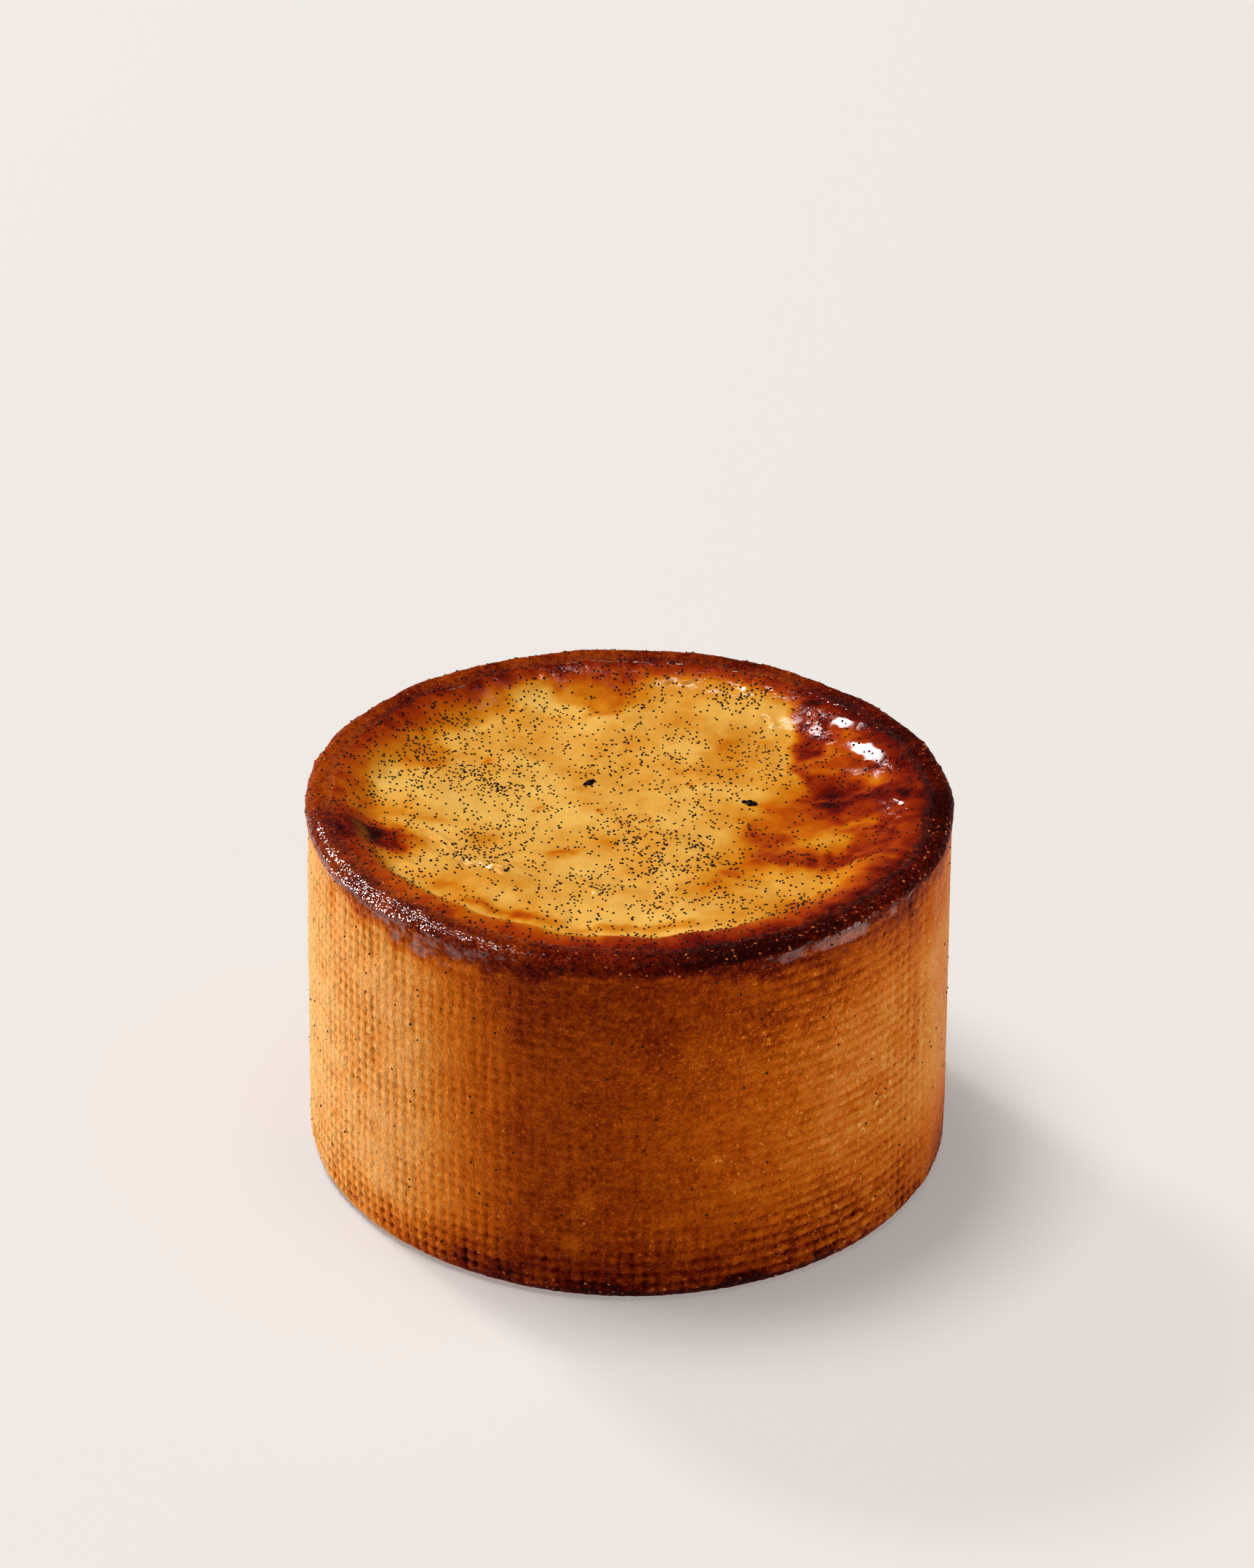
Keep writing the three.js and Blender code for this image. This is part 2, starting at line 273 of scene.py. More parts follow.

# How far the baking has gone round the wall's middle, its foot, and the lip's outside: (azimuth, bake). The
# wall's and the foot's tables also carry painted light: paler at the left, where the low lamp falls, and
# stepping to darker at the front, in its shade.
WALL_BAKE_AND_LIGHT = [
    (-180, 0.0), (-165, 0.01), (-158, 0.04), (-148, 0.09), (-130, 0.18), (-120, 0.46), (-108, 0.7),
    (-85, 0.7), (-70, 0.6), (-50, 0.35), (-38, 0.28), (-28, 0.28), (-15, 0.32), (60, 0.36), (120, 0.3),
    (180, 0.0),
]
FOOT_BAKE_AND_LIGHT = [
    (-180, 0.02), (-160, 0.04), (-145, 0.14), (-130, 0.52), (-115, 0.76), (-100, 0.76), (-85, 0.77),
    (-70, 0.71), (-55, 0.64), (-42, 0.46), (-28, 0.5), (-18, 0.7), (-8, 0.8), (60, 0.5), (180, 0.02),
]
# How much browner the wall gets towards the lip.
UPPER_BAKE = [
    (-180, 0.1), (-165, 0.04), (-150, 0.0), (-110, 0.04), (-85, 0.08), (-60, 0.1), (-40, 0.2), (-25, 0.24),
    (-12, 0.16), (60, 0.1), (180, 0.1),
]
LIP_BAKE = [
    (-180, 0.78), (-150, 0.82), (-110, 0.85), (-96, 0.88), (-80, 0.98), (-40, 0.97), (20, 0.95), (60, 0.86),
    (100, 0.82), (180, 0.78),
]
SHOULDER_BAKE = [
    (-180, 0.56), (-166, 0.76), (-156, 0.7), (-140, 0.6), (-110, 0.66), (-92, 0.74), (-76, 0.84),
    (-60, 0.7), (-40, 0.84), (-20, 0.77), (20, 0.84), (45, 0.84), (62, 0.64), (80, 0.76), (110, 0.74),
    (150, 0.74), (180, 0.56),
]
UNDERSIDE_BAKE = 0.58
# The shoulder gets browner outward: by how much for each mm, and where it has the browning listed.
SHOULDER_DARKENS = 0.065
SHOULDER_MIDDLE = 35.2
# The brown band under the lip: azimuth, how deep in mm, how much browner.
BAND = [
    (-180, 0.3, 0.0), (-158, 0.5, 0.1), (-147, 1.8, 0.44), (-132, 3.5, 0.5), (-120, 3.0, 0.3),
    (-106, 1.6, 0.12), (-92, 1.0, 0.1), (-76, 1.2, 0.14), (-64, 3.4, 0.2), (-52, 5.2, 0.2),
    (-42, 4.8, 0.2), (-30, 4.0, 0.2), (-20, 2.6, 0.2), (0, 1.6, 0.2), (150, 0.8, 0.2), (180, 0.3, 0.0),
]
# Single marks on the wall: azimuth, height in mm, half width in degrees, half height in mm, how much browner.
WALL_SPOTS = [
    (-46, 5.5, 0.8, 0.6, 0.26),
    (-155, 43.5, 1.9, 2.4, 0.3),
    (-55, 41.0, 8.0, 2.2, 0.06),
    (-30.5, 38, 1.3, 9, 0.12),
    (-27.8, 30, 1.0, 14, 0.12),
    (-34.5, 34, 1.2, 10, 0.07),
    (-25.5, 24, 1.0, 16, -0.08),
    (-160, 31, 0.8, 0.4, 0.22),
    (-166, 19, 1.6, 0.5, 0.24),
    (-154, 12, 1.0, 0.5, 0.22),
    (-99, 7.5, 2.0, 1.3, -0.16),
    (-70, 15, 3.0, 1.0, -0.12),
    (-97, 14, 1.5, 1.5, -0.14),
    (-75, 19, 2.5, 1.2, -0.1),
    (-83, 11, 2.0, 0.8, -0.12),
    (-62, 9, 1.6, 0.8, -0.1),
    (-90, 25, 1.8, 0.9, -0.08),
    (-54, 21, 2.4, 0.8, -0.08),
]

# How far the baking has gone, from pale gold at 0 to nearly black at 1, at each place on the case, with
# painted light added: paler where the low left lamp falls and darker in the front's shade.
wall_height = case_height / MM
turned_by = turn_between(case_azimuth, 0)
bake = read_round(WALL_BAKE_AND_LIGHT, turned_by)
past_lap = turn_between(case_azimuth, math.degrees(LAP_AZIMUTH))
# It is uneven all over, and more so where it is browner.
bake += (0.012 + 0.014 * smoothstep(0.05, 0.4, bake)) * (patchy + 0.8 * fine_patchy)
# The foot is browner up to 9 mm high. At the front right the darker foot reaches up to twice that high:
# browning with painted shade over it, where the floor beside it lies in shadow.
foot_reach = 9 + 9.5 * hump(case_azimuth, -32, 70)
foot_share = 1 - smoothstep(0.05, 1, (wall_height + 0.8 * patchy + 0.6 * fine_patchy) / foot_reach)
bake = bake * (1 - foot_share) + read_round(FOOT_BAKE_AND_LIGHT, turned_by) * foot_share
# Its lowest edge is scorched, most at the front right.
bottom_edge = 1 - smoothstep(0.6, 2.4, wall_height + 0.5 * patchy + 0.7 * fine_patchy)
bake += 0.24 * bottom_edge * hump(case_azimuth, -50, 95)
# The wall is browner near the top too, and has a ragged brown band under the lip.
bake += read_round(UPPER_BAKE, turned_by) * smoothstep(32, 41, wall_height + 1.5 * patchy)
band_azimuths, band_depths, band_strengths = zip(*BAND)
band_depth = np.interp(turned_by, band_azimuths, band_depths) * (1 + 0.35 * patchy + 0.4 * fine_patchy)
below_lip = (lip_foot / MM - wall_height) / band_depth
under_lip_band = (1 - smoothstep(0.3, 1.3, below_lip)) * (wall_height > 20)
bake += under_lip_band * np.interp(turned_by, band_azimuths, band_strengths)
for spot_azimuth, spot_height, wide, tall, strength in WALL_SPOTS:
    near = (turn_between(case_azimuth, spot_azimuth) / wide) ** 2 + ((wall_height - spot_height) / tall) ** 2
    bake += strength * np.exp(-near) * (1 + 0.3 * patchy)
# The lip has one browning on its outside and another on the shoulder that falls to the custard.
outer_bake = read_round(LIP_BAKE, turned_by)
inner_bake = read_round(SHOULDER_BAKE, turned_by)
lip_inward = 1 - smoothstep(36.4 * MM, 38.2 * MM, case_radius - 0.3 * MM * patchy)
inner_bake += SHOULDER_DARKENS * (case_radius / MM - SHOULDER_MIDDLE)
lip_bake = outer_bake * (1 - lip_inward) + inner_bake * lip_inward + 0.04 * patchy + 0.03 * fine_patchy
bake = bake * (1 - on_lip) + on_lip * lip_bake
bake = np.where(underside, UNDERSIDE_BAKE, bake)
# How much of the lip still carries glaze. It dried in on most of the rim and ran over the edge at two places.
LIP_GLAZE = [
    (-180, 0.42), (-168, 0.74), (-155, 0.94), (-134, 0.8), (-120, 0.64), (-106, 0.48), (-92, 0.2),
    (-80, 0.0), (20, 0.1), (38, 0.34), (64, 0.34), (84, 0.22), (100, 0.0), (150, 0.1), (180, 0.42),
]
# Where it ran over, how far down the wall in mm, and how far up the lip.
runs_over = 1.0 * hump(case_azimuth, -49, 36) + 0.85 * hump(case_azimuth, -130, 36)
ran_down = 1.8 + 1.8 * hump(case_azimuth, -128, 36)
above_foot = wall_height - lip_foot / MM + 0.4 * fine_patchy
down_the_wall = smoothstep(-1.3, -0.6, above_foot / ran_down)
up_the_lip = 1 - smoothstep(0.3, 0.9, above_foot + 0.4 * patchy)
run = np.clip(runs_over * down_the_wall * up_the_lip * (0.7 + 0.3 * fine_patchy), 0, 1)
# At the right the crust under it is smoother and a little paler.
right_run = run * hump(case_azimuth, -46, 38)
bake -= 0.12 * right_run * on_lip
store(plain_case, "bake", np.clip(bake, 0, 1.2))
# The lip's inner side is glazed all round.
by_the_seam = 1 - smoothstep(37.0 * MM, 38.2 * MM, case_radius + 0.4 * MM * fine_patchy)
lip_glaze = on_lip * np.maximum(read_round(LIP_GLAZE, turned_by), by_the_seam)
store(plain_case, "glaze", np.clip(np.maximum(lip_glaze, run * outside), 0, 1))
# The lip's outside is granular, most at the front left and the front right.
granular_around = 0.25 + 0.75 * hump(case_azimuth, -130, 55) + 0.75 * hump(case_azimuth, -40, 75)
granular_out = smoothstep(36.4 * MM, 38.2 * MM, case_radius + (0.5 * patchy + 0.5 * fine_patchy) * MM)
granular_under_run = 1 - 0.8 * right_run
store(plain_case, "granular", on_lip * np.clip(granular_around, 0, 1) * granular_out * granular_under_run)
# Pale flecks where the wall has browned, most at the front right: partly paler crumb, partly painted
# highlights on the crumb.
specked = (0.5 + 0.5 * smoothstep(-0.3, 0.6, patchy)) * (0.7 + 0.5 * hump(case_azimuth, -45, 50))
store(plain_case, "specked", (1 - on_lip) * specked * smoothstep(0.02, 0.2, bake))
store(plain_case, "crumbly", 0.35 + 0.65 * on_lip + 0.5 * (1 - smoothstep(1, 5, wall_height)))

# How deep the strip's upright and level threads have pressed: the dough never filled the weave evenly.
press = 0.8 + 0.22 * round_noise(28, 21) + 0.35 * round_noise(100, 22)
pressed = smoothstep(0.1, 1.2, wall_height) * (1 - on_lip) * (1 - 0.35 * under_lip_band)
# It is shallower at the middle of the front and past the seam, and deepest at the foot.
middle_fade = 1 - 0.5 * hump(case_azimuth, -84, 34) * smoothstep(6, 14, wall_height)
foot_boost = 1 + (1.0 - 0.5 * hump(case_azimuth, -35, 45)) * (1 - smoothstep(2, 11, wall_height))
upright = 0.32 + 0.4 * hump(case_azimuth, -145, 55) + 0.3 * hump(case_azimuth, -31, 12)
upright += 0.3 * hump(case_azimuth, 70, 80) - 0.12 * hump(case_azimuth, -58, 24)
level = 0.4 + 0.5 * hump(case_azimuth, -48, 42) + 0.26 * hump(case_azimuth, -145, 50)
past_seam = smoothstep(0, 2, past_lap) * (1 - smoothstep(30, 50, past_lap))
pressed = pressed * middle_fade * press * foot_boost * (1 - 0.75 * past_seam)
THREADS = ("upright_threads", "level_threads")
for label, strength in zip(THREADS, (upright, level)):
    store(plain_case, label, np.clip(pressed * strength, 0, 1.6))
# The grooves are painted browner than the nubs, most at the left and the right and at the front of the foot:
# this is painted shade in the weave's recesses, where the side lamps rake across it.
groove_browning = 0.13 + 0.11 * hump(case_azimuth, -150, 50) + 0.12 * hump(case_azimuth, -45, 45)
groove_browning += (0.1 * hump(case_azimuth, -110, 45) - 0.02) * (1 - smoothstep(2, 9, wall_height))
store(plain_case, "groove_browning", groove_browning)


def add(tree, kind, inputs=(), **settings):
    """One node in a tree: its settings, then its inputs, each a value or the socket that feeds it."""
    node = tree.nodes.new(kind)
    for name, value in settings.items():
        setattr(node, name, value)
    for socket, value in dict(inputs).items():
        if isinstance(value, bpy.types.NodeSocket):
            tree.links.new(value, node.inputs[socket])
        else:
            node.inputs[socket].default_value = value
    return node


def calc(tree, operation, a, b=0.0, c=None):
    values = {0: a, 1: b} if c is None else {0: a, 1: b, 2: c}
    return add(tree, "ShaderNodeMath", values, operation=operation).outputs[0]


def clamped(tree, operation, a, b):
    return add(tree, "ShaderNodeMath", {0: a, 1: b}, operation=operation, use_clamp=True).outputs[0]


def noise(tree, coordinates, scale, detail=2.0, roughness=0.5):
    """Soft noise with its middle at 0."""
    inputs = {"Vector": coordinates, "Scale": scale, "Detail": detail, "Roughness": roughness}
    field = add(tree, "ShaderNodeTexNoise", inputs).outputs[0]
    return calc(tree, "SUBTRACT", field, 0.5)


def woven_press(tree, place, columns, pitch, waver, upright, level):
    """How deep the strip has pressed at a place: 0 on a full nub, down to about -2 where two threads cross.

    Every nub is lower by a chance of its own, because the dough filled each mesh differently.
    """
    split = add(tree, "ShaderNodeSeparateXYZ", {0: place})
    azimuth = calc(tree, "ARCTAN2", split.outputs[1], split.outputs[0])
    wavering = calc(tree, "MULTIPLY", noise(tree, place, 160.0, 2.0), waver)
    column = calc(tree, "MULTIPLY_ADD", azimuth, columns, wavering)
    turns = calc(tree, "DIVIDE", split.outputs[2], pitch)
    row = calc(tree, "MULTIPLY_ADD", turns, 2 * math.pi, wavering)
    nub_column = calc(tree, "ROUND", calc(tree, "DIVIDE", column, 2 * math.pi))
    nub_row = calc(tree, "ROUND", calc(tree, "DIVIDE", row, 2 * math.pi))
    nub = add(tree, "ShaderNodeCombineXYZ", {0: nub_column, 1: nub_row})
    chance = add(tree, "ShaderNodeTexWhiteNoise", {"Vector": nub.outputs[0]}).outputs["Value"]
    hollows = []
    swellings = []
    for phase, depth in ((column, upright), (row, level)):
        swelling = calc(tree, "MULTIPLY_ADD", calc(tree, "COSINE", phase), 0.5, 0.5)
        rounded = calc(tree, "POWER", swelling, 0.6)
        hollows.append(calc(tree, "MULTIPLY", calc(tree, "SUBTRACT", rounded, 1.0), depth))
        swellings.append(rounded)
    full_nub = calc(tree, "MULTIPLY", *swellings)
    strongest = calc(tree, "MAXIMUM", upright, level)
    unfilled = calc(tree, "MULTIPLY", calc(tree, "MULTIPLY", full_nub, chance), strongest)
    return calc(tree, "MULTIPLY_ADD", unfilled, -1.0, calc(tree, "ADD", *hollows))


def geometry_tree(name, sizes):
    """An empty Geometry Nodes tree with a geometry in and out, and named number inputs."""
    tree = bpy.data.node_groups.new(name, "GeometryNodeTree")
    tree.interface.new_socket("Geometry", in_out="INPUT", socket_type="NodeSocketGeometry")
    tree.interface.new_socket("Geometry", in_out="OUTPUT", socket_type="NodeSocketGeometry")
    for label, kind in sizes.items():
        tree.interface.new_socket(label, in_out="INPUT", socket_type=kind)
    return tree, tree.nodes.new("NodeGroupInput"), tree.nodes.new("NodeGroupOutput")


def grown(piece, tree, values, name):
    """The plain mesh that a tree makes of a piece, as a new object, with the first one removed."""
    modifier = piece.modifiers.new("grow", "NODES")
    modifier.node_group = tree
    for item in tree.interface.items_tree:
        if item.in_out == "INPUT" and item.name in values:
            modifier[item.identifier] = values[item.name]
    bpy.context.view_layer.update()
    evaluated = piece.evaluated_get(bpy.context.evaluated_depsgraph_get())
    mesh = bpy.data.meshes.new_from_object(evaluated)
    mesh.name = name
    bpy.data.objects.remove(piece)
    return placed(name, mesh)


def woven_imprint_tree():
    """Presses the weave into the case: grooves along both sets of threads, and a nub in each mesh."""
    sizes = dict.fromkeys(("Columns", "Pitch", "Nub Height", "Waver", "Grain Height"), "NodeSocketFloat")
    sizes["Material"] = "NodeSocketMaterial"
    tree, given, result = geometry_tree("woven_imprint", sizes)
    marks = {}
    for label in ("crumbly", *THREADS):
        mark = add(tree, "GeometryNodeInputNamedAttribute", {"Name": label}, data_type="FLOAT")
        marks[label] = mark.outputs[0]
    place = add(tree, "GeometryNodeInputPosition").outputs[0]
    threads = [marks[label] for label in THREADS]
    weave = (given.outputs["Columns"], given.outputs["Pitch"], given.outputs["Waver"])
    pressed = woven_press(tree, place, *weave, *threads)
    grain = calc(tree, "MULTIPLY", noise(tree, place, 1500.0, 3.0), given.outputs["Grain Height"])
    grain = calc(tree, "MULTIPLY", grain, marks["crumbly"])
    lift = calc(tree, "MULTIPLY_ADD", pressed, given.outputs["Nub Height"], grain)
    normal = add(tree, "GeometryNodeInputNormal").outputs[0]
    outward = add(tree, "ShaderNodeVectorMath", {0: normal}, operation="SCALE")
    tree.links.new(lift, outward.inputs["Scale"])
    height = add(tree, "ShaderNodeSeparateXYZ", {0: place}).outputs[2]
    above_table = add(tree, "FunctionNodeCompare", {0: height, 1: CLEAR_OF_TABLE}, operation="GREATER_THAN")
    moved = add(tree, "GeometryNodeSetPosition", {
        "Geometry": given.outputs["Geometry"],
        "Offset": outward.outputs[0],
        "Selection": above_table.outputs[0],
    })
    real = add(tree, "GeometryNodeRealizeInstances", {0: moved.outputs[0]})
    coated = add(tree, "GeometryNodeSetMaterial", {0: real.outputs[0], "Material": given.outputs["Material"]})
    tree.links.new(coated.outputs[0], result.inputs["Geometry"])
    return tree


def material_tree(name):
    material = bpy.data.materials.new(name)
    material.use_nodes = True
    tree = material.node_tree
    tree.nodes.clear()
    shader = tree.nodes.new("ShaderNodeBsdfPrincipled")
    output = tree.nodes.new("ShaderNodeOutputMaterial")
    tree.links.new(shader.outputs[0], output.inputs[0])
    return material, tree, shader


def set_constants(shader, values):
    for socket, value in values.items():
        shader.inputs[socket].default_value = value


def ramp(tree, factor, stops):
    """A colour ramp through (place, (red, green, blue)) stops, in the colours' linear values."""
    node = add(tree, "ShaderNodeValToRGB", {0: factor})
    elements = node.color_ramp.elements
    while len(elements) > 1:
        elements.remove(elements[-1])
    elements[0].position = stops[0][0]
    elements[0].color = (*stops[0][1], 1)
    for place, colour in stops[1:]:
        elements.new(place).color = (*colour, 1)
    return node.outputs[0]


def linear(red, green, blue):
    """A colour's linear values from the 0 to 255 that a screen shows."""
    shown = [channel / 255 for channel in (red, green, blue)]
    return tuple(c / 12.92 if c <= 0.04045 else ((c + 0.055) / 1.055) ** 2.4 for c in shown)


def bump(tree, height, strength, distance, normal=None):
    inputs = {"Height": height, "Strength": strength, "Distance": distance}
    if normal:
        inputs["Normal"] = normal
    return add(tree, "ShaderNodeBump", inputs).outputs[0]


def mottling_group():
    """The uneven browning and grain of baked surfaces, as noise of two sizes with its middle at 0."""
    tree = bpy.data.node_groups.new("baked_mottling", "ShaderNodeTree")
    tree.interface.new_socket("Place", in_out="INPUT", socket_type="NodeSocketVector")
    for label in ("Cloud Scale", "Cloud Amount", "Grain Scale", "Grain Amount"):
        tree.interface.new_socket(label, in_out="INPUT", socket_type="NodeSocketFloat")
    for label in ("Unevenness", "Grain"):
        tree.interface.new_socket(label, in_out="OUTPUT", socket_type="NodeSocketFloat")
    given = tree.nodes.new("NodeGroupInput").outputs
    result = tree.nodes.new("NodeGroupOutput")
    clouds = noise(tree, given["Place"], given["Cloud Scale"], 4.0, 0.6)
    grain = noise(tree, given["Place"], given["Grain Scale"], 3.0, 0.6)
    both = calc(tree, "MULTIPLY", grain, given["Grain Amount"])
    both = calc(tree, "MULTIPLY_ADD", clouds, given["Cloud Amount"], both)
    tree.links.new(both, result.inputs["Unevenness"])
    tree.links.new(grain, result.inputs["Grain"])
    return tree


baked_mottling = mottling_group()


def mottled(tree, place, clouds, grain):
    """The unevenness and the grain of a baked surface, from the scale and amount of its clouds and grain."""
    values = {"Place": place, "Cloud Scale": clouds[0], "Cloud Amount": clouds[1]}
    values.update({"Grain Scale": grain[0], "Grain Amount": grain[1]})
    group = add(tree, "ShaderNodeGroup", values, node_tree=baked_mottling)
    return group.outputs["Unevenness"], group.outputs["Grain"]


# Colours for the browning and for the painted light in it: the palest golds colour the lamp-lit left of the
# wall.
BAKE_AND_LIGHT_COLOURS = [
    (0.0, linear(238, 202, 124)),
    (0.05, linear(244, 196, 116)),
    (0.1, linear(250, 189, 109)),
    (0.2, linear(252, 172, 90)),
    (0.32, linear(240, 149, 58)),
    (0.44, linear(228, 123, 30)),
    (0.56, linear(212, 102, 12)),
    (0.66, linear(190, 82, 2)),
    (0.76, linear(154, 56, 0)),
    (0.86, linear(112, 23, 0)),
    (0.94, linear(72, 6, 0)),
    (1.0, linear(42, 2, 0)),
]
WAVER = 1.6
FEWER_FLECKS = 0.075
FLECKS_PALER = 3.2
SHARP_EDGE_OF_GLAZE = 5.0
# Mottling of the crust: how many cells to a metre, and how much browner.
CRUST_CLOUDS = (300.0, 0.07)
CRUST_CRUMB = (1100.0, 0.3)
CRUST_FINE = (2300.0, 0.26)
CRUST_GRIT = (4200.0, 0.2)
# Relief that is finer than the mesh: how strong, and how high.
GRITTY = (0.8, 0.24 * MM)
CRUMBLY = (0.95, 0.58 * MM)
WOVEN = (0.9, 0.22 * MM)
LUMPY = (0.6, 0.4 * MM)
GRANULAR = (0.9, 0.3 * MM)
SMOOTH_GLAZE = (0.5, 0.4 * MM)
GRANULAR_GLAZE = (0.8, 0.14 * MM)
GRANULES = 2000.0
DRY_CRUST_SPECULAR = 0.04
WARM_SHEEN = (1, 0.55, 0.3, 1)
GLAZE_ROUGHNESS = 0.07
GLAZE_IOR = 1.65


def crust_material():
    material, tree, shader = material_tree("baked_shortcrust")
    place = add(tree, "ShaderNodeTexCoord").outputs["Object"]
    marks = {}
    for label in ("bake", "glaze", "granular", "specked", "groove_browning", *THREADS):
        marks[label] = add(tree, "ShaderNodeAttribute", attribute_name=label).outputs["Fac"]
    threads = [marks[label] for label in THREADS]
    pressed = woven_press(tree, place, float(WEAVE_COLUMNS), WEAVE_PITCH, WAVER, *threads)
    broad, crumb = mottled(tree, place, CRUST_CLOUDS, CRUST_CRUMB)
    fine, grit = mottled(tree, place, CRUST_FINE, CRUST_GRIT)
    flecks = clamped(tree, "SUBTRACT", noise(tree, place, 1700.0, 3.0, 0.75), FEWER_FLECKS)
    uneven = calc(tree, "ADD", broad, fine)
    browned_enough = calc(tree, "MULTIPLY_ADD", marks["bake"], 1.6, 0.25)
    browner = calc(tree, "MULTIPLY_ADD", uneven, calc(tree, "MINIMUM", browned_enough, 1.0), marks["bake"])
    # Pale flecks: partly paler crumb and partly painted highlights.
    paler = calc(tree, "MULTIPLY", calc(tree, "MULTIPLY", flecks, marks["specked"]), -FLECKS_PALER)
    browner = calc(tree, "ADD", browner, paler)
    # Painted shade: the weave's grooves are darkened here.
    in_grooves = calc(tree, "MULTIPLY", pressed, marks["groove_browning"])
    browner = calc(tree, "SUBTRACT", browner, in_grooves)
    tree.links.new(ramp(tree, browner, BAKE_AND_LIGHT_COLOURS), shader.inputs["Base Color"])
    tree.links.new(calc(tree, "MULTIPLY_ADD", crumb, 0.3, 0.46), shader.inputs["Roughness"])
    still_wet = calc(tree, "ADD", noise(tree, place, 800.0, 2.0), calc(tree, "SUBTRACT", marks["glaze"], 0.5))
    wet = clamped(tree, "MULTIPLY", still_wet, SHARP_EDGE_OF_GLAZE)
    tree.links.new(wet, shader.inputs["Coat Weight"])
    granules = add(tree, "ShaderNodeTexVoronoi", {"Vector": place, "Scale": GRANULES})
    hollow = calc(tree, "MULTIPLY", granules.outputs["Distance"], marks["granular"])
    hollow = calc(tree, "MULTIPLY", hollow, -1.0)
    gritty = bump(tree, grit, *GRITTY)
    crumbly = bump(tree, crumb, *CRUMBLY, gritty)
    woven = bump(tree, pressed, *WOVEN, crumbly)
    lumpy = bump(tree, noise(tree, place, 700.0, 2.0), *LUMPY, woven)
    granular = bump(tree, hollow, *GRANULAR, lumpy)
    smooth_glaze = bump(tree, noise(tree, place, 650.0, 2.0), *SMOOTH_GLAZE)
    granular_glaze = bump(tree, hollow, *GRANULAR_GLAZE, smooth_glaze)
    tree.links.new(granular, shader.inputs["Normal"])
    tree.links.new(granular_glaze, shader.inputs["Coat Normal"])
    set_constants(shader, {"Specular IOR Level": DRY_CRUST_SPECULAR, "Specular Tint": WARM_SHEEN})
    set_constants(shader, {"Coat Roughness": GLAZE_ROUGHNESS, "Coat IOR": GLAZE_IOR})
    return material


baked_shortcrust = crust_material()
imprint_sizes = {
    "Columns": float(WEAVE_COLUMNS),
    "Pitch": WEAVE_PITCH,
    "Nub Height": NUB_HEIGHT,
    "Waver": WAVER,
    "Grain Height": CRUMB_HEIGHT,
    "Material": baked_shortcrust,
}
case = grown(plain_case, woven_imprint_tree(), imprint_sizes, "pastry_case_baked")
case.visible_diffuse = False
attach(case, "root")
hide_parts("pastry_case")

# ---------------------------------------------------------------------------
# Custard. Set vanilla custard that fills the case to the floor. It puffed up against the crust as it
# baked and sank as it cooled, so a smooth browned shoulder falls to a wavy dish. The skin is yellow
# with caramel patches, largest at the right, under a thin clear glaze.
# ---------------------------------------------------------------------------
STANDS_PROUD = 0.03 * MM
EDGE_TURNS_DOWN = 0.06 * MM
EDGE_TURNS_BETWEEN = (36.2 * MM, 36.85 * MM)
RIPPLES_FADE_BETWEEN = (34 * MM, 36 * MM)
MIDDLE_SAG = 0.4 * MM
FOLD_WAVES = [(8, 0.12 * MM, 2.6), (13, 0.12 * MM, 0.5), (22, 0.1 * MM, 1.7)]
FOLD_RADIUS = 31.5 * MM
FOLD_REACH = 3.2 * MM
INTO_WALL = 0.35 * MM
CUSTARD_SEGMENTS = 640
CUSTARD_RINGS = 150
RINGS_CROWD_OUT = 1.25
LAST_RING_INWARD = 0.985


def soft_patch(x, y, patch):
    """A soft oval on the top, 1 at its middle, from its place, half length, half width and turn, in mm."""
    dx = x / MM - patch[0]
    dy = y / MM - patch[1]
    cos, sin = math.cos(patch[4]), math.sin(patch[4])
    return np.exp(-(((dx * cos + dy * sin) / patch[2]) ** 2 + ((dy * cos - dx * sin) / patch[3]) ** 2))


def firm_patch(x, y, patch):
    """The same oval with a flatter middle and a sharper edge."""
    return np.exp(np.log(np.maximum(soft_patch(x, y, patch), 1e-12)) ** 3)


# Broad swells and hollows in mm: place, reach along and across, turn in radians, height.
SWELLS = [
    (27, 14, 9, 3.4, 0.75, 0.75),
    (21, 19, 6, 4, -0.4, -0.45),
    (24, -8, 10, 4, 0.9, 0.6),
    (14, -3, 8, 6, 0.2, -0.35),
    (2, 24, 9, 4, 0.1, 0.5),
    (-10, 17, 9, 5, -0.5, -0.3),
    (-25, 3, 8, 5, 1.3, 0.4),
    (-18, -15, 11, 3, -0.6, 0.5),
    (-4, -12, 12, 5, -0.15, -0.25),
    (6, -24, 10, 3.5, 0.1, 0.35),
]
# Creases in the skin, in mm: place, half length, half width, turn in radians, height.
CREASES = [
    (-22.5, -6.5, 2.6, 0.35, -0.8, 0.16),
    (-17.5, -12, 3.2, 0.4, -0.3, 0.2),
    (-4.5, -17, 3.4, 0.35, -0.9, 0.12),
    (-26, -13.5, 4.5, 0.8, -0.55, 0.25),
    (-27, -9.5, 4.0, 0.7, -0.6, -0.2),
    (28, -14.5, 4.5, 0.9, 0.65, 0.25),
    (25, -17, 5, 0.8, 0.5, -0.2),
]
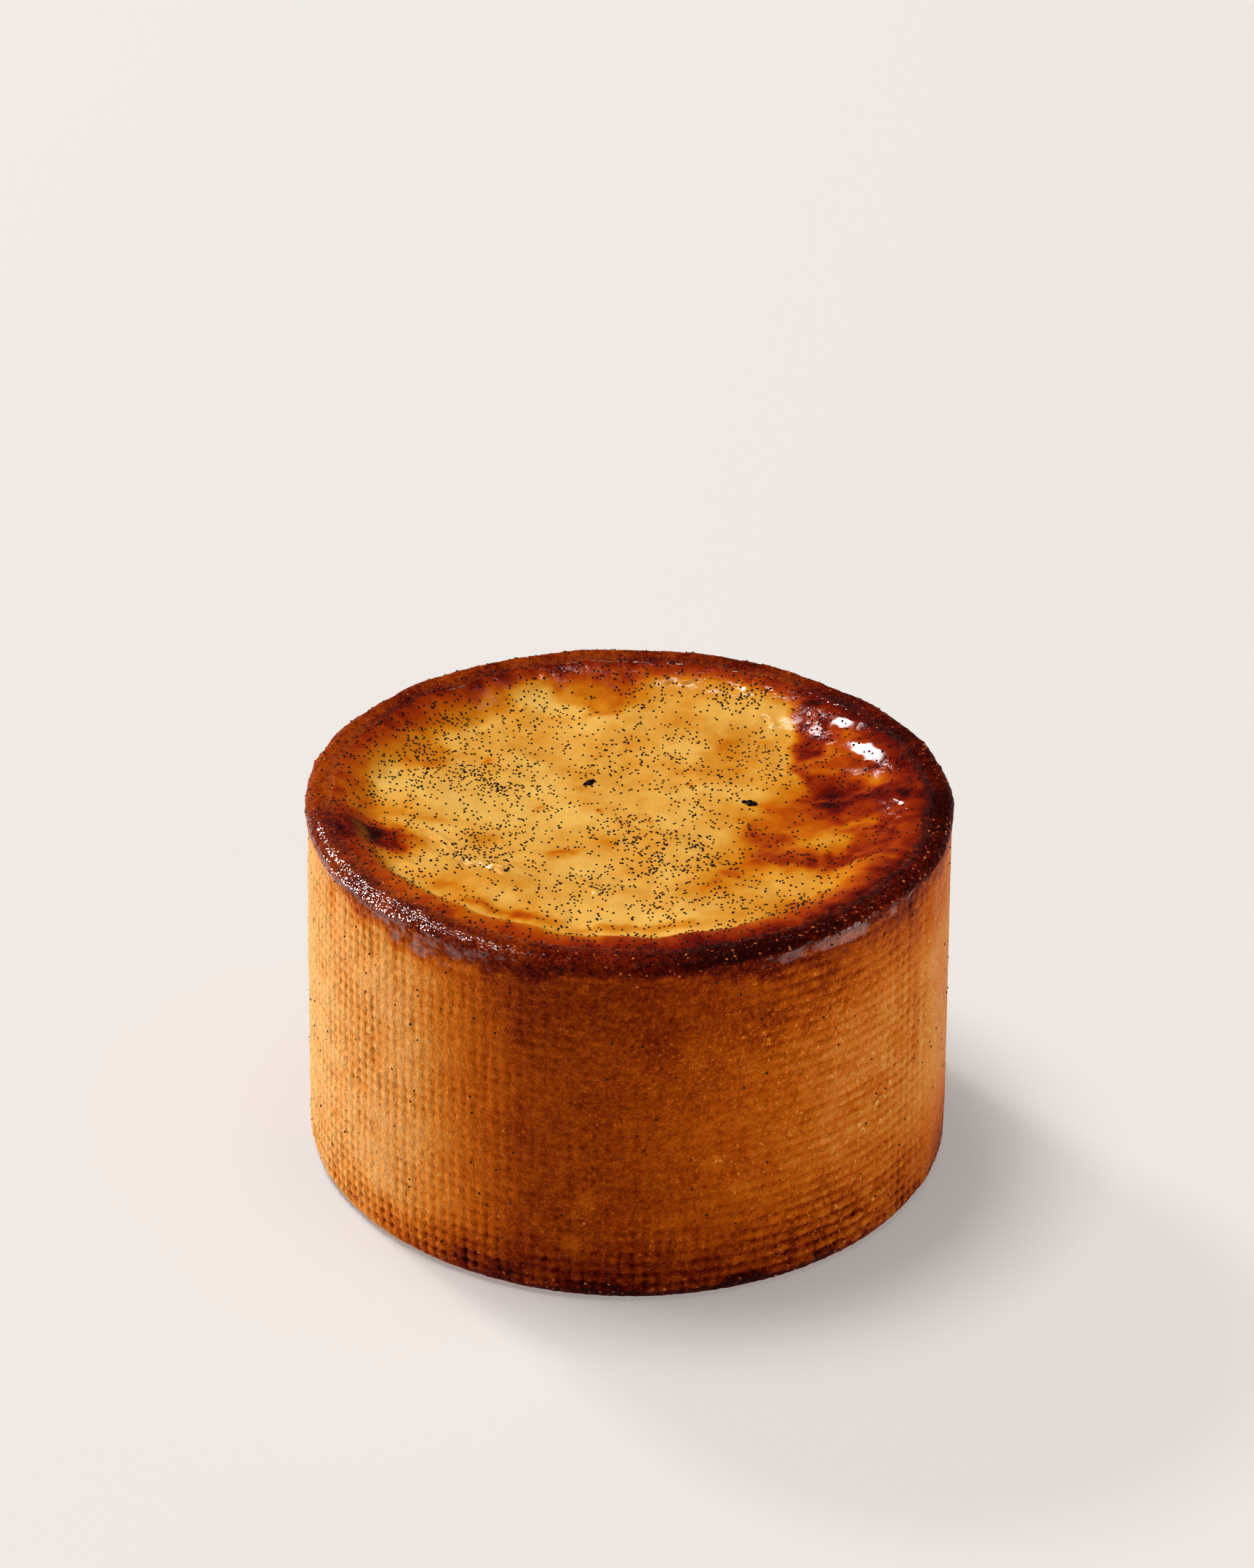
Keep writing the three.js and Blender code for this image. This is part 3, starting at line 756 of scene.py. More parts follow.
# Small faces of the skin that tilt like the slope at the back right and mirror the light behind:
# place, half length, half width and turn. Each rises so much for each mm to the right and to the back.
GLEAMS = [
    (30.0, 13.2, 4.8, 1.9, -0.82),
    (27.2, 20.8, 3.0, 1.15, -0.55),
    (-17.2, -13.2, 3.2, 0.34, -0.3),
    (-23.2, -7.2, 2.6, 0.24, -0.85),
    (-4.7, -17.6, 2.8, 0.2, -0.95),
    (17.8, 23.9, 1.1, 0.5, -0.9),
    (14.3, 30.3, 1.6, 0.45, -0.6),
    (18.4, 29.2, 0.9, 0.35, -0.5),
    (6.2, 32.4, 1.4, 0.35, 0.0),
    (33.3, -0.2, 0.8, 0.35, -0.9),
    (33.1, -3.2, 0.7, 0.4, -0.5),
    (24.2, 24.3, 0.6, 0.35, -0.6),
    (21.6, 27.2, 0.5, 0.35, -0.5),
    (2.8, 21.4, 0.8, 0.3, -1.2),
    (-14.0, 26.6, 0.9, 0.3, 1.2),
    (-11.4, 33.4, 0.9, 0.5, 1.2),
]
GLEAM_RISE = (0.46, 0.247)


def skin_height(x, y):
    """Height of the custard's skin over a place, before its gleams."""
    radius = np.hypot(x, y)
    azimuth = np.arctan2(y, x)
    sag = MIDDLE_SAG * (1 - (radius / DISH_RADIUS) ** 2)
    turned_down = EDGE_TURNS_DOWN * smoothstep(*EDGE_TURNS_BETWEEN, radius)
    rim_level = CREST_HEIGHT - CREST_TRIM + STANDS_PROUD - turned_down
    dish = rim_level - dish_drop(radius, azimuth) - np.maximum(sag, 0)
    near_rim = smoothstep(0.3 * DISH_RADIUS, DISH_RADIUS, radius)
    in_dish = 1 - smoothstep(DISH_RADIUS - 3 * MM, DISH_RADIUS + 2.5 * MM, radius)
    swells = sum(swell[5] * MM * soft_patch(x, y, swell) for swell in SWELLS)
    folds = np.exp(-(((radius - FOLD_RADIUS) / FOLD_REACH) ** 2)) * waves(FOLD_WAVES, azimuth)
    folds *= 1 - 0.55 * hump(azimuth, 75, 55)
    creases = sum(crease[5] * MM * soft_patch(x, y, crease) for crease in CREASES)
    ripple = 0.07 * MM * soft_noise(x, y, 2.2 * MM, 31) + 0.12 * MM * soft_noise(x, y, 5 * MM, 32)
    ripple += 0.035 * MM * soft_noise(x, y, 1.1 * MM, 35)
    ripple *= 1 - smoothstep(*RIPPLES_FADE_BETWEEN, radius)
    relief = in_dish * swells + folds + creases + ripple
    return dish + near_rim * waves(CREST_WAVES, azimuth) + relief


def custard_surface(x, y):
    """The skin's height with its gleams, and how calm the glaze lies there: 1 on a gleam, 0 elsewhere."""
    height = skin_height(x, y)
    calm = np.zeros_like(height)
    ragged_x = x + 0.45 * MM * soft_noise(x, y, 0.9 * MM, 33)
    ragged_y = y + 0.45 * MM * soft_noise(x, y, 0.9 * MM, 34)
    for gleam in GLEAMS:
        middle_x = np.float64(gleam[0] * MM)
        middle_y = np.float64(gleam[1] * MM)
        face = skin_height(middle_x, middle_y)
        face = face + GLEAM_RISE[0] * (x - middle_x) + GLEAM_RISE[1] * (y - middle_y)
        near = firm_patch(ragged_x, ragged_y, gleam)
        height = height * (1 - near) + face * near
        calm = np.maximum(calm, near)
    return height, calm


inward = np.linspace(0, 1, CUSTARD_RINGS) ** RINGS_CROWD_OUT
top_radii = (INSIDE_RADIUS + INTO_WALL) * (1 - inward * LAST_RING_INWARD)
custard_around = np.arange(CUSTARD_SEGMENTS) * 2 * math.pi / CUSTARD_SEGMENTS
top_azimuth, top_radius = np.meshgrid(custard_around, top_radii)
top_x = top_radius * np.cos(top_azimuth)
top_y = top_radius * np.sin(top_azimuth)
top_height, calm = custard_surface(top_x, top_y)
top_points = np.stack([top_x, top_y, top_height], axis=-1)
side_radii = np.array([INNERMOST_RING, BASE_RADIUS - CRUST_THICKNESS + INTO_WALL, top_radii[0]])
side_heights = np.array([FLOOR_THICKNESS - INTO_WALL, FLOOR_THICKNESS - INTO_WALL, LIP_FOOT - UNDER_LIP])
side_azimuth, side_radius = np.meshgrid(custard_around, side_radii)
side_height = np.meshgrid(custard_around, side_heights)[1]
side_x = side_radius * np.cos(side_azimuth)
side_y = side_radius * np.sin(side_azimuth)
side_points = np.stack([side_x, side_y, side_height], axis=-1)
custard = turned_mesh("custard_set", np.concatenate([side_points, top_points]))


def outlined(x, y, outline, soft):
    """1 inside a closed outline given in mm, 0 outside it, with an edge as soft as given, in mm too."""
    at_x = x / MM
    at_y = y / MM
    nearest = np.full_like(at_x, np.inf)
    inside = np.zeros(at_x.shape, bool)
    for (ax, ay), (bx, by) in zip(outline, outline[1:] + outline[:1]):
        along_side = ((at_x - ax) * (bx - ax) + (at_y - ay) * (by - ay)) / ((bx - ax) ** 2 + (by - ay) ** 2)
        along_side = np.clip(along_side, 0, 1)
        away = np.hypot(at_x - ax - along_side * (bx - ax), at_y - ay - along_side * (by - ay))
        nearest = np.minimum(nearest, away)
        if ay != by:
            inside ^= ((ay > at_y) != (by > at_y)) & (at_x < ax + (bx - ax) * (at_y - ay) / (by - ay))
    return smoothstep(-soft, soft, np.where(inside, nearest, -nearest))


# Browned stains: how much browner, how soft the edge is in mm, and the outline in mm from the middle.
STAINS = [
    (0.56, 0.9, [
        (20.6, 27.5), (21.2, 22), (20.9, 16), (20.8, 12.4), (20.4, 9), (25, 4), (36, 0), (39, 2), (36, 18),
        (28, 28),
    ]),
    (0.48, 3.2, [
        (22, 9), (18.4, 7.6), (16.6, 4), (15.6, 0.5), (14, -3.5), (13.6, -7), (14.4, -10.5), (17, -12),
        (20, -13), (24, -13.5), (28, -16), (36, -11), (38, 0), (30, 5),
    ]),
    (0.5, 1.1, [(21.2, 26.5), (21.6, 20), (21.8, 14.5), (23.6, 13.5), (24.6, 17), (25.4, 22.5), (25, 28)]),
    (0.4, 1.2, [
        (18, -11.6), (22, -11), (26.5, -9.6), (28, -5), (31, -3.5), (34, -8), (31, -13.5), (28.6, -12.2),
        (24.5, -13.6), (19, -13.8),
    ]),
    (0.5, 1.4, [
        (31, 15), (30.4, 9.8), (34, 8.8), (33.6, 6), (30, 5), (28.5, 0), (31, -2), (32.5, -7), (36, -8),
        (38, 5), (35, 16),
    ]),
    (0.36, 1.0, [(-10.8, 36), (-9.6, 30.5), (-5.2, 25), (-1.5, 25.4), (1, 29), (2.5, 36)]),
    (0.8, 3.0, [(-39, -2), (-33, -3), (-28, -4.4), (-25.8, -8), (-28.8, -11.6), (-34, -12), (-39, -13)]),
    (0.18, 2.0, [(-24, -13), (-17, -13.5), (-13, -17), (-18, -20), (-25, -19)]),
    (0.18, 2.6, [(6.5, -12), (12, -10.5), (16, -15), (12, -19.5), (7, -17.5)]),
    (0.32, 1.8, [(-30, 22), (-22, 30), (-14, 31.5), (-14.5, 26), (-20, 23), (-23.5, 18.5), (-28, 17)]),
    (0.3, 1.4, [(-31.5, 17), (-25, 18), (-21.5, 15.6), (-24, 11.6), (-31, 11)]),
    (0.42, 1.6, [(-38, 12), (-33.5, 9), (-31.5, 5), (-30.8, 0), (-31.5, -4), (-38, -5)]),
]
# Soft patches, browner or paler, in mm: place, half length, half width, turn, and how much browner.
SOFT_PATCHES = [
    (25.3, 2.2, 2.8, 4.6, 0.1, 0.72),
    (29.0, 6.0, 2.2, 2.0, 0.1, 0.2),
    (16.8, -10.4, 2.8, 2.2, 0.0, 0.44),
    (18.5, -5.0, 2.4, 2.0, 0.5, 0.1),
    (23.5, 28, 3.0, 2.4, -0.7, 0.6),
    (26.5, 22.8, 3.2, 3.0, 0.0, 0.35),
    (33.5, 17, 2.4, 4.0, 0.6, 0.3),
    (23.8, -6.4, 2.7, 2.2, 0.0, -0.5),
    (27.2, -2.6, 3.4, 0.6, 0.4, -0.24),
    (31.6, 7.7, 2.0, 1.2, 0.1, -0.5),
    (29.6, 17.4, 2.6, 0.9, -0.5, -0.4),
    (26.5, 14.2, 3.2, 1.2, 0.1, -0.12),
    (26.6, -14.2, 3.6, 0.6, 0.62, -0.25),
    (10.4, -16.4, 2.0, 1.3, 0.3, 0.24),
    (12.4, -13.2, 1.6, 1.3, 0.0, 0.2),
    (16.4, -4.2, 1.8, 2.4, 0.0, 0.34),
    (20, -17.5, 8.0, 5.0, 0.4, 0.14),
    (22, -21.5, 4.5, 2.0, 0.55, 0.5),
    (11, -8.5, 3.4, 4.0, 0.2, 0.14),
    (-19, 0, 7.0, 5.0, 0.0, -0.3),
    (-24.5, -1.6, 3.4, 1.1, -0.3, 0.26),
    (-28, 0.6, 4.0, 2.4, -0.2, 0.22),
    (12.7, 19.4, 2.2, 3.4, 0.1, 0.26),
    (13, 23, 5, 3, 0.3, 0.06),
    (6, 24, 2.2, 1.8, 0.0, 0.12),
    (-4, 33.4, 5.5, 1.8, 0.0, 0.5),
    (4.5, 34.6, 4.5, 1.6, 0.0, 0.6),
    (9.0, 34.0, 1.6, 1.6, 0.0, 0.4),
    (10, 30.5, 4.0, 2.0, 0.0, 0.1),
    (-8.8, -8.9, 1.9, 1.5, 0.1, 0.42),
    (-7.4, -8.0, 1.4, 0.7, 0.1, 0.36),
    (-2.6, -5.8, 1.5, 1.2, 0.0, 0.36),
    (-18, -5.6, 2.4, 1.5, 0.0, 0.24),
    (3, -9, 2.5, 3, 0.2, 0.1),
    (-31.5, -8.0, 5.0, 2.6, 0.1, 0.7),
    (-34.0, -7.6, 3.4, 2.2, 0.0, 0.5),
    (-31.0, -13.2, 1.0, 2.2, -0.4, -0.3),
    (-21.5, 28.6, 2.4, 1.8, 0.4, 0.45),
    (-25.5, 26.5, 3.0, 1.8, 0.8, 0.45),
    (-29.5, 21, 3.0, 1.8, 1.0, 0.4),
    (-27, 19, 4.5, 4.0, 0.0, 0.16),
    (-14, 33.2, 4.0, 1.6, 0.2, 0.7),
    (-22, -17.5, 6.0, 1.2, -0.62, 0.32),
    (-17, -22.5, 6.0, 1.0, -0.42, 0.42),
    (-28.5, -17.5, 6.5, 0.8, -0.85, 0.3),
    (-25, -22.5, 7.0, 0.8, -0.75, 0.3),
    (-11, -25, 5.5, 0.9, -0.25, 0.35),
    (-2, -27.2, 5.0, 0.9, 0.0, 0.34),
    (6, -26.4, 4.0, 0.9, 0.1, 0.34),
    (-8, -22, 8, 1.4, -0.15, -0.14),
    (2, -24.5, 6, 1.2, 0.05, -0.12),
    (-18, 13.3, 0.55, 0.4, 0.0, 0.42),
    (-11.2, 2.3, 0.6, 0.7, 0.0, 0.32),
    (-3.6, 1.6, 0.5, 0.5, 0.0, 0.5),
    (2.6, -1.3, 0.4, 0.9, 0.2, 0.3),
    (8.3, 8.9, 0.5, 0.6, 0.0, 0.42),
    (-5.6, 7.6, 1.6, 1.0, 0.2, 0.24),
]


def skin_noise(cell, seed):
    """Soft noise over the top, with cells of so many mm."""
    return soft_noise(top_x, top_y, cell * MM, seed)


warp_x = top_x + 0.7 * MM * skin_noise(3, 41) + 0.4 * MM * skin_noise(1.1, 42)
warp_y = top_y + 0.7 * MM * skin_noise(3, 43) + 0.4 * MM * skin_noise(1.1, 44)
# How far the skin has browned: uneven all over, a little more to the right and less to the front.
browned = 0.17 + 0.12 * soft_noise(warp_x, warp_y, 6 * MM, 45) + 0.07 * soft_noise(warp_x, warp_y, 2 * MM, 46)
browned += 0.003 * np.clip(top_x / MM, -22, 14) - 0.0012 * np.clip(-top_y / MM, 0, 25)
streaks = soft_noise(top_azimuth * LIP_RADIUS, 0.2 * top_radius, 0.9 * MM, 48)
for strength, soft, outline in STAINS:
    browned += outlined(warp_x, warp_y, outline, soft) * strength * np.clip(1.0 - browned, 0, 1)
for patch in SOFT_PATCHES:
    room = np.clip(1.0 - browned, 0, 1) if patch[5] > 0 else browned
    browned = browned + soft_patch(warp_x, warp_y, patch) * patch[5] * room
browned *= 1 + 0.14 * soft_noise(warp_x, warp_y, 1.3 * MM, 49)
browned += 0.05 * streaks * smoothstep(26 * MM, 32 * MM, top_radius) * hump(top_azimuth, 0, 80)
warped_radius = np.hypot(0.5 * (top_x + warp_x), 0.5 * (top_y + warp_y))
# Where the rim's brown begins and where it is whole, in mm from the middle: azimuth, start, end.
BROWN_EDGE = [
    (-180, 31.4, 35.4), (-165, 29.6, 34.0), (-150, 31.4, 34.2), (-120, 32.2, 34.4), (-90, 32.2, 34.2),
    (-60, 30.5, 33.6), (-30, 29.0, 33.6), (0, 29.6, 34.0), (40, 30.5, 34.6), (60, 32.0, 35.4),
    (90, 32.6, 36.0), (130, 31.6, 35.8), (180, 31.4, 35.4),
]
# How much coarser the skin is on the browned shoulder than in the dish.
SHOULDER_COARSER = 1.6
top_turn = turn_between(top_azimuth, 0)
edge_azimuths, edge_starts, edge_ends = zip(*BROWN_EDGE)
brown_start = np.interp(top_turn, edge_azimuths, edge_starts) * MM
brown_end = np.interp(top_turn, edge_azimuths, edge_ends) * MM
shoulder = smoothstep(0, 1, (warped_radius - brown_start) / (brown_end - brown_start))
shoulder_bake = read_round(SHOULDER_BAKE, top_turn) + 0.07 * soft_noise(warp_x, warp_y, 2 * MM, 47)
shoulder_bake += SHOULDER_DARKENS * (warped_radius / MM - SHOULDER_MIDDLE) + 0.05 * streaks
browned = np.maximum(browned * (1 - shoulder) + shoulder * shoulder_bake, browned * 0.98)
browned = np.clip(browned, 0, 1.05)
store(custard, "browned", np.concatenate([np.repeat(browned[:1], 3, axis=0), browned]))
rippled = (1 - calm) * (1 + SHOULDER_COARSER * shoulder)
store(custard, "rippled", np.concatenate([np.ones_like(side_height), rippled]))

CUSTARD_COLOURS = [
    (0.0, linear(250, 198, 98)),
    (0.12, linear(242, 180, 78)),
    (0.25, linear(231, 158, 52)),
    (0.4, linear(218, 132, 18)),
    (0.55, linear(200, 94, 0)),
    (0.68, linear(172, 58, 0)),
    (0.78, linear(140, 35, 0)),
    (0.86, linear(108, 15, 0)),
    (0.94, linear(72, 5, 0)),
    (1.0, linear(42, 2, 0)),
]
CUSTARD_GLAZE_IOR = 1.45
# Mottling of the skin, and relief finer than its mesh, given as for the crust.
SKIN_CLOUDS = (260.0, 0.15)
SKIN_PEBBLES = (1400.0, 0.08)
SKIN_FINE = (650.0, 0.12)
SKIN_PORES = (2600.0, 0.06)
PEBBLY = (0.35, 0.1 * MM)
ROLLING = (0.3, 0.35 * MM)


def custard_material():
    material, tree, shader = material_tree("glazed_custard")
    place = add(tree, "ShaderNodeTexCoord").outputs["Object"]
    baked = add(tree, "ShaderNodeAttribute", attribute_name="browned").outputs["Fac"]
    broad, pebbles = mottled(tree, place, SKIN_CLOUDS, SKIN_PEBBLES)
    fine, pores = mottled(tree, place, SKIN_FINE, SKIN_PORES)
    uneven = calc(tree, "ADD", broad, fine)
    rippled = add(tree, "ShaderNodeAttribute", attribute_name="rippled").outputs["Fac"]
    browner = calc(tree, "MULTIPLY_ADD", uneven, calc(tree, "MINIMUM", rippled, 1.0), baked)
    tree.links.new(ramp(tree, browner, CUSTARD_COLOURS), shader.inputs["Base Color"])
    tree.links.new(calc(tree, "MULTIPLY_ADD", pebbles, 0.12, 0.13), shader.inputs["Roughness"])
    skin = calc(tree, "MULTIPLY_ADD", pores, 0.4, pebbles)
    pebbly = bump(tree, calc(tree, "MULTIPLY", skin, rippled), *PEBBLY)
    rolls = calc(tree, "MULTIPLY", noise(tree, place, 420.0, 2.0), rippled)
    rolling = bump(tree, rolls, *ROLLING, pebbly)
    tree.links.new(rolling, shader.inputs["Normal"])
    set_constants(shader, {"IOR": CUSTARD_GLAZE_IOR})
    return material


custard.data.materials.append(custard_material())
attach(custard, "root")
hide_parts("custard_filling")

# ---------------------------------------------------------------------------
# Vanilla seeds. Thousands of black seeds of 0.3 to 0.4 mm from the scraped pods. Most rose to the skin,
# some in clusters, and a few lie on the lip and in the wall. Those under the glaze show brown.
# ---------------------------------------------------------------------------
SEED_LENGTH = 0.39 * MM
# Clusters in mm: place, half length, half width, turn, and how much denser.
SEED_CLUSTERS = [
    (-18, 9, 5, 3.5, -0.6, 1.0),
    (-15, 7, 3, 2, -0.3, 1.0),
    (3, -6, 4, 6, 0.3, 1.2),
    (-27, 15, 4, 6, 0.5, 0.8),
    (14, 29, 4, 3, 0.0, 1.2),
    (-17, -8, 4, 3.5, 0.0, 1.2),
    (6, -11, 5, 4, 0.0, 0.8),
    (-5, -16, 8, 4, 0.0, 0.4),
    (-24, 24, 5, 3, 0.8, 0.8),
]
clustered = sum(cluster[5] * soft_patch(top_x, top_y, cluster) for cluster in SEED_CLUSTERS)
uneven = 0.75 + 0.6 * skin_noise(3, 51)
fewer_at_rim = 1 - 0.3 * smoothstep(31 * MM, 35 * MM, top_radius)
fewer_right = 1 - 0.55 * soft_patch(top_x, top_y, (28, 2, 9, 16, 0))
seed_share = np.clip(uneven * (0.55 + clustered) * fewer_at_rim * fewer_right, 0, 3)
store(custard, "seeds", np.concatenate([np.zeros_like(seed_share[:3]), seed_share]))


def scatter_tree():
    """Strews grains over a surface where its named share says, each turned, sized and sunk at random."""
    sizes = dict.fromkeys(("Surface", "Grain"), "NodeSocketObject")
    sizes.update(dict.fromkeys(("Density", "Smallest", "Largest", "Sink"), "NodeSocketFloat"))
    sizes.update({"Share": "NodeSocketString", "Seed": "NodeSocketInt", "Material": "NodeSocketMaterial"})
    tree, given, result = geometry_tree("strewn_grains", sizes)
    asked = given.outputs

    def geometry_of(piece):
        info = add(tree, "GeometryNodeObjectInfo", {"Object": asked[piece]}, transform_space="RELATIVE")
        return info.outputs["Geometry"]

    def chance(smallest, largest):
        values = {2: smallest, 3: largest, "Seed": asked["Seed"]}
        return add(tree, "FunctionNodeRandomValue", values, data_type="FLOAT").outputs[1]

    surface = geometry_of("Surface")
    grain = geometry_of("Grain")
    share_at = add(tree, "GeometryNodeInputNamedAttribute", {"Name": asked["Share"]}, data_type="FLOAT")
    density = calc(tree, "MULTIPLY", share_at.outputs[0], asked["Density"])
    spread = {"Mesh": surface, "Density": density, "Seed": asked["Seed"]}
    points = add(tree, "GeometryNodeDistributePointsOnFaces", spread, distribute_method="RANDOM")
    depths = {"Geometry": points.outputs["Points"], "Name": "depth", "Value": chance(0.0, 1.0)}
    kept = add(tree, "GeometryNodeStoreNamedAttribute", depths, data_type="FLOAT")
    axis = add(tree, "ShaderNodeCombineXYZ", {2: chance(0.0, 2 * math.pi)})
    turns = {0: points.outputs["Rotation"], 1: axis.outputs[0]}
    turned = add(tree, "FunctionNodeRotateRotation", turns, rotation_space="LOCAL")
    size = chance(asked["Smallest"], asked["Largest"])
    laid = {"Points": kept.outputs[0], "Instance": grain, "Rotation": turned.outputs[0], "Scale": size}
    strewn = add(tree, "GeometryNodeInstanceOnPoints", laid)
    lowered = calc(tree, "MULTIPLY", size, asked["Sink"])
    down = add(tree, "ShaderNodeCombineXYZ", {2: calc(tree, "MULTIPLY", lowered, -1.0)})
    sunk = add(tree, "GeometryNodeTranslateInstances", {0: strewn.outputs[0], "Translation": down.outputs[0]})
    real = add(tree, "GeometryNodeRealizeInstances", {0: sunk.outputs[0]})
    coated = add(tree, "GeometryNodeSetMaterial", {0: real.outputs[0], "Material": asked["Material"]})
    tree.links.new(coated.outputs[0], result.inputs["Geometry"])
    return tree


def blank(name):
    """An empty piece, for a tree or a form to fill."""
    return placed(name, bpy.data.meshes.new(name))


def pebble(name, long, wide, thick, rough, seed):
    """One small uneven grain, 1 unit long before it is scaled."""
    form = bmesh.new()
    bmesh.ops.create_icosphere(form, subdivisions=1, radius=0.5)
    rng = np.random.default_rng(seed)
    for vertex in form.verts:
        vertex.co *= 1 + rough * rng.uniform(-1, 1)
        vertex.co = Vector((vertex.co.x * long, vertex.co.y * wide, vertex.co.z * thick))
    mesh = bpy.data.meshes.new(name)
    form.to_mesh(mesh)
    form.free()
    mesh.shade_smooth()
    return placed(name, mesh)


def grain_material(name, stops, specular):
    """Each grain's colour goes by its depth, a chance from 0 to 1 that the strewing kept on it."""
    material, tree, shader = material_tree(name)
    depth = add(tree, "ShaderNodeAttribute", attribute_name="depth").outputs["Fac"]
    tree.links.new(ramp(tree, depth, stops), shader.inputs["Base Color"])
    set_constants(shader, {"Roughness": GRAIN_ROUGHNESS, "Specular IOR Level": specular})
    return material


GRAIN_ROUGHNESS = 0.4
SEED_SPECULAR = 0.1
SEED_COLOURS = [
    (0.0, linear(3, 2, 1)),
    (0.88, linear(8, 5, 3)),
    (0.96, linear(54, 32, 8)),
    (1.0, linear(100, 60, 16)),
]
SEEDS_PER_SQUARE_METRE = 2.0e6
strew = scatter_tree()
vanilla_seed = grain_material("vanilla_seed", SEED_COLOURS, SEED_SPECULAR)
seed_grain = pebble("seed_grain", 1.0, 0.85, 0.85, 0.12, 61)
# The case is at its full width on the far right, so nothing is strewn within a few degrees of it.
WIDEST_WITHIN = 6
clear_of_width = np.abs(turned_by) > WIDEST_WITHIN
case_seeds = (0.1 * on_lip + 0.01 * (1 - on_lip) * (wall_height > 3)) * clear_of_width * ~buried * ~underside
store(case, "seeds", case_seeds)
seed_values = {
    "Surface": custard,
    "Grain": seed_grain,
    "Share": "seeds",
    "Density": SEEDS_PER_SQUARE_METRE,
    "Smallest": 0.7 * SEED_LENGTH,
    "Largest": 1.05 * SEED_LENGTH,
    "Sink": 0.0,
    "Seed": 5,
    "Material": vanilla_seed,
}
top_seeds = grown(blank("top_seeds"), strew, seed_values, "vanilla_seeds_top")
case_values = dict(seed_values, Surface=case, Seed=9, Sink=0.2)
rim_seeds = grown(blank("rim_seeds"), strew, case_values, "vanilla_seeds_crust")
bpy.data.objects.remove(seed_grain)
for seeds in (top_seeds, rim_seeds):
    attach(seeds, "root")

# ---------------------------------------------------------------------------
# Pod flecks. Two torn bits of vanilla pod skin, a little over a millimetre long, that set in the top.
# Each is a few flat lumps, and lies half in the custard.
# ---------------------------------------------------------------------------
# The lumps of both flecks in mm: place, length, width and turn in radians.
FLECK_LUMPS = [
    (-4.9, 8.6, 1.0, 1.3, 0.2),
    (-4.5, 9.0, 0.7, 0.8, 1.3),
    (-5.4, 8.2, 0.7, 0.4, 0.3),
    (15.1, 3.9, 1.1, 1.4, 0.1),
    (15.6, 3.7, 0.8, 1.0, 0.9),
    (14.4, 4.1, 0.8, 0.45, -0.3),
]
FLECK_THICKNESS = 0.75 * MM
fleck_form = bmesh.new()
for lump_x, lump_y, lump_long, lump_wide, lump_turn in FLECK_LUMPS:
    made = bmesh.ops.create_icosphere(fleck_form, subdivisions=2, radius=0.5)
    skin = custard_surface(np.float64(lump_x * MM), np.float64(lump_y * MM))[0]
    place = Matrix.Translation((lump_x * MM, lump_y * MM, float(skin)))
    place = place @ Matrix.Rotation(lump_turn, 4, "Z")
    place = place @ Matrix.Diagonal((lump_long * MM, lump_wide * MM, FLECK_THICKNESS, 1))
    bmesh.ops.transform(fleck_form, matrix=place, verts=made["verts"])
pod_flecks = blank("vanilla_pod_flecks")
fleck_form.to_mesh(pod_flecks.data)
fleck_form.free()
pod_flecks.data.shade_smooth()
pod_flecks.data.materials.append(vanilla_seed)
pod_flecks.data.attributes.new("depth", "FLOAT", "POINT")
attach(pod_flecks, "root")

# ---------------------------------------------------------------------------
# Crust grains. Crumbs of the shortcrust that came loose in the ring and baked on, golden to dark brown.
# They lie thickest on the outside of the lip and round the foot.
# ---------------------------------------------------------------------------
GRAIN_LENGTH = 0.36 * MM
lip_grains = 0.3 + 0.7 * hump(case_azimuth, -55, 60) + 0.4 * hump(case_azimuth, 10, 60)
lip_grains = on_lip * granular_out * lip_grains
foot_grains = (1 - smoothstep(1.5, 5, wall_height)) * smoothstep(0.3, 0.8, wall_height)
foot_grains *= 0.3 + 0.5 * hump(case_azimuth, -110, 40) + 0.4 * hump(case_azimuth, -35, 40)
wall_grains = 0.03 * (1 - on_lip) * (wall_height > 3)
grain_share = (lip_grains + foot_grains + wall_grains) * clear_of_width * ~buried * ~underside
store(case, "grains", grain_share)
CRUMB_SPECULAR = 0.3
CRUMB_COLOURS = [
    (0.0, linear(56, 10, 0)),
    (0.6, linear(112, 32, 0)),
    (0.82, linear(166, 62, 2)),
    (0.94, linear(204, 98, 14)),
    (1.0, linear(228, 140, 50)),
]
GRAINS_PER_SQUARE_METRE = 1.4e6
crumb_grain = pebble("crumb_grain", 1.0, 0.8, 0.75, 0.2, 62)
grain_values = {
    "Surface": case,
    "Grain": crumb_grain,
    "Share": "grains",
    "Density": GRAINS_PER_SQUARE_METRE,
    "Smallest": 0.4 * GRAIN_LENGTH,
    "Largest": GRAIN_LENGTH,
    "Sink": 0.2,
    "Seed": 11,
    "Material": grain_material("crust_crumb", CRUMB_COLOURS, CRUMB_SPECULAR),
}
crust_grains = grown(blank("loose_grains"), strew, grain_values, "crust_grains")
bpy.data.objects.remove(crumb_grain)
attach(crust_grains, "root")

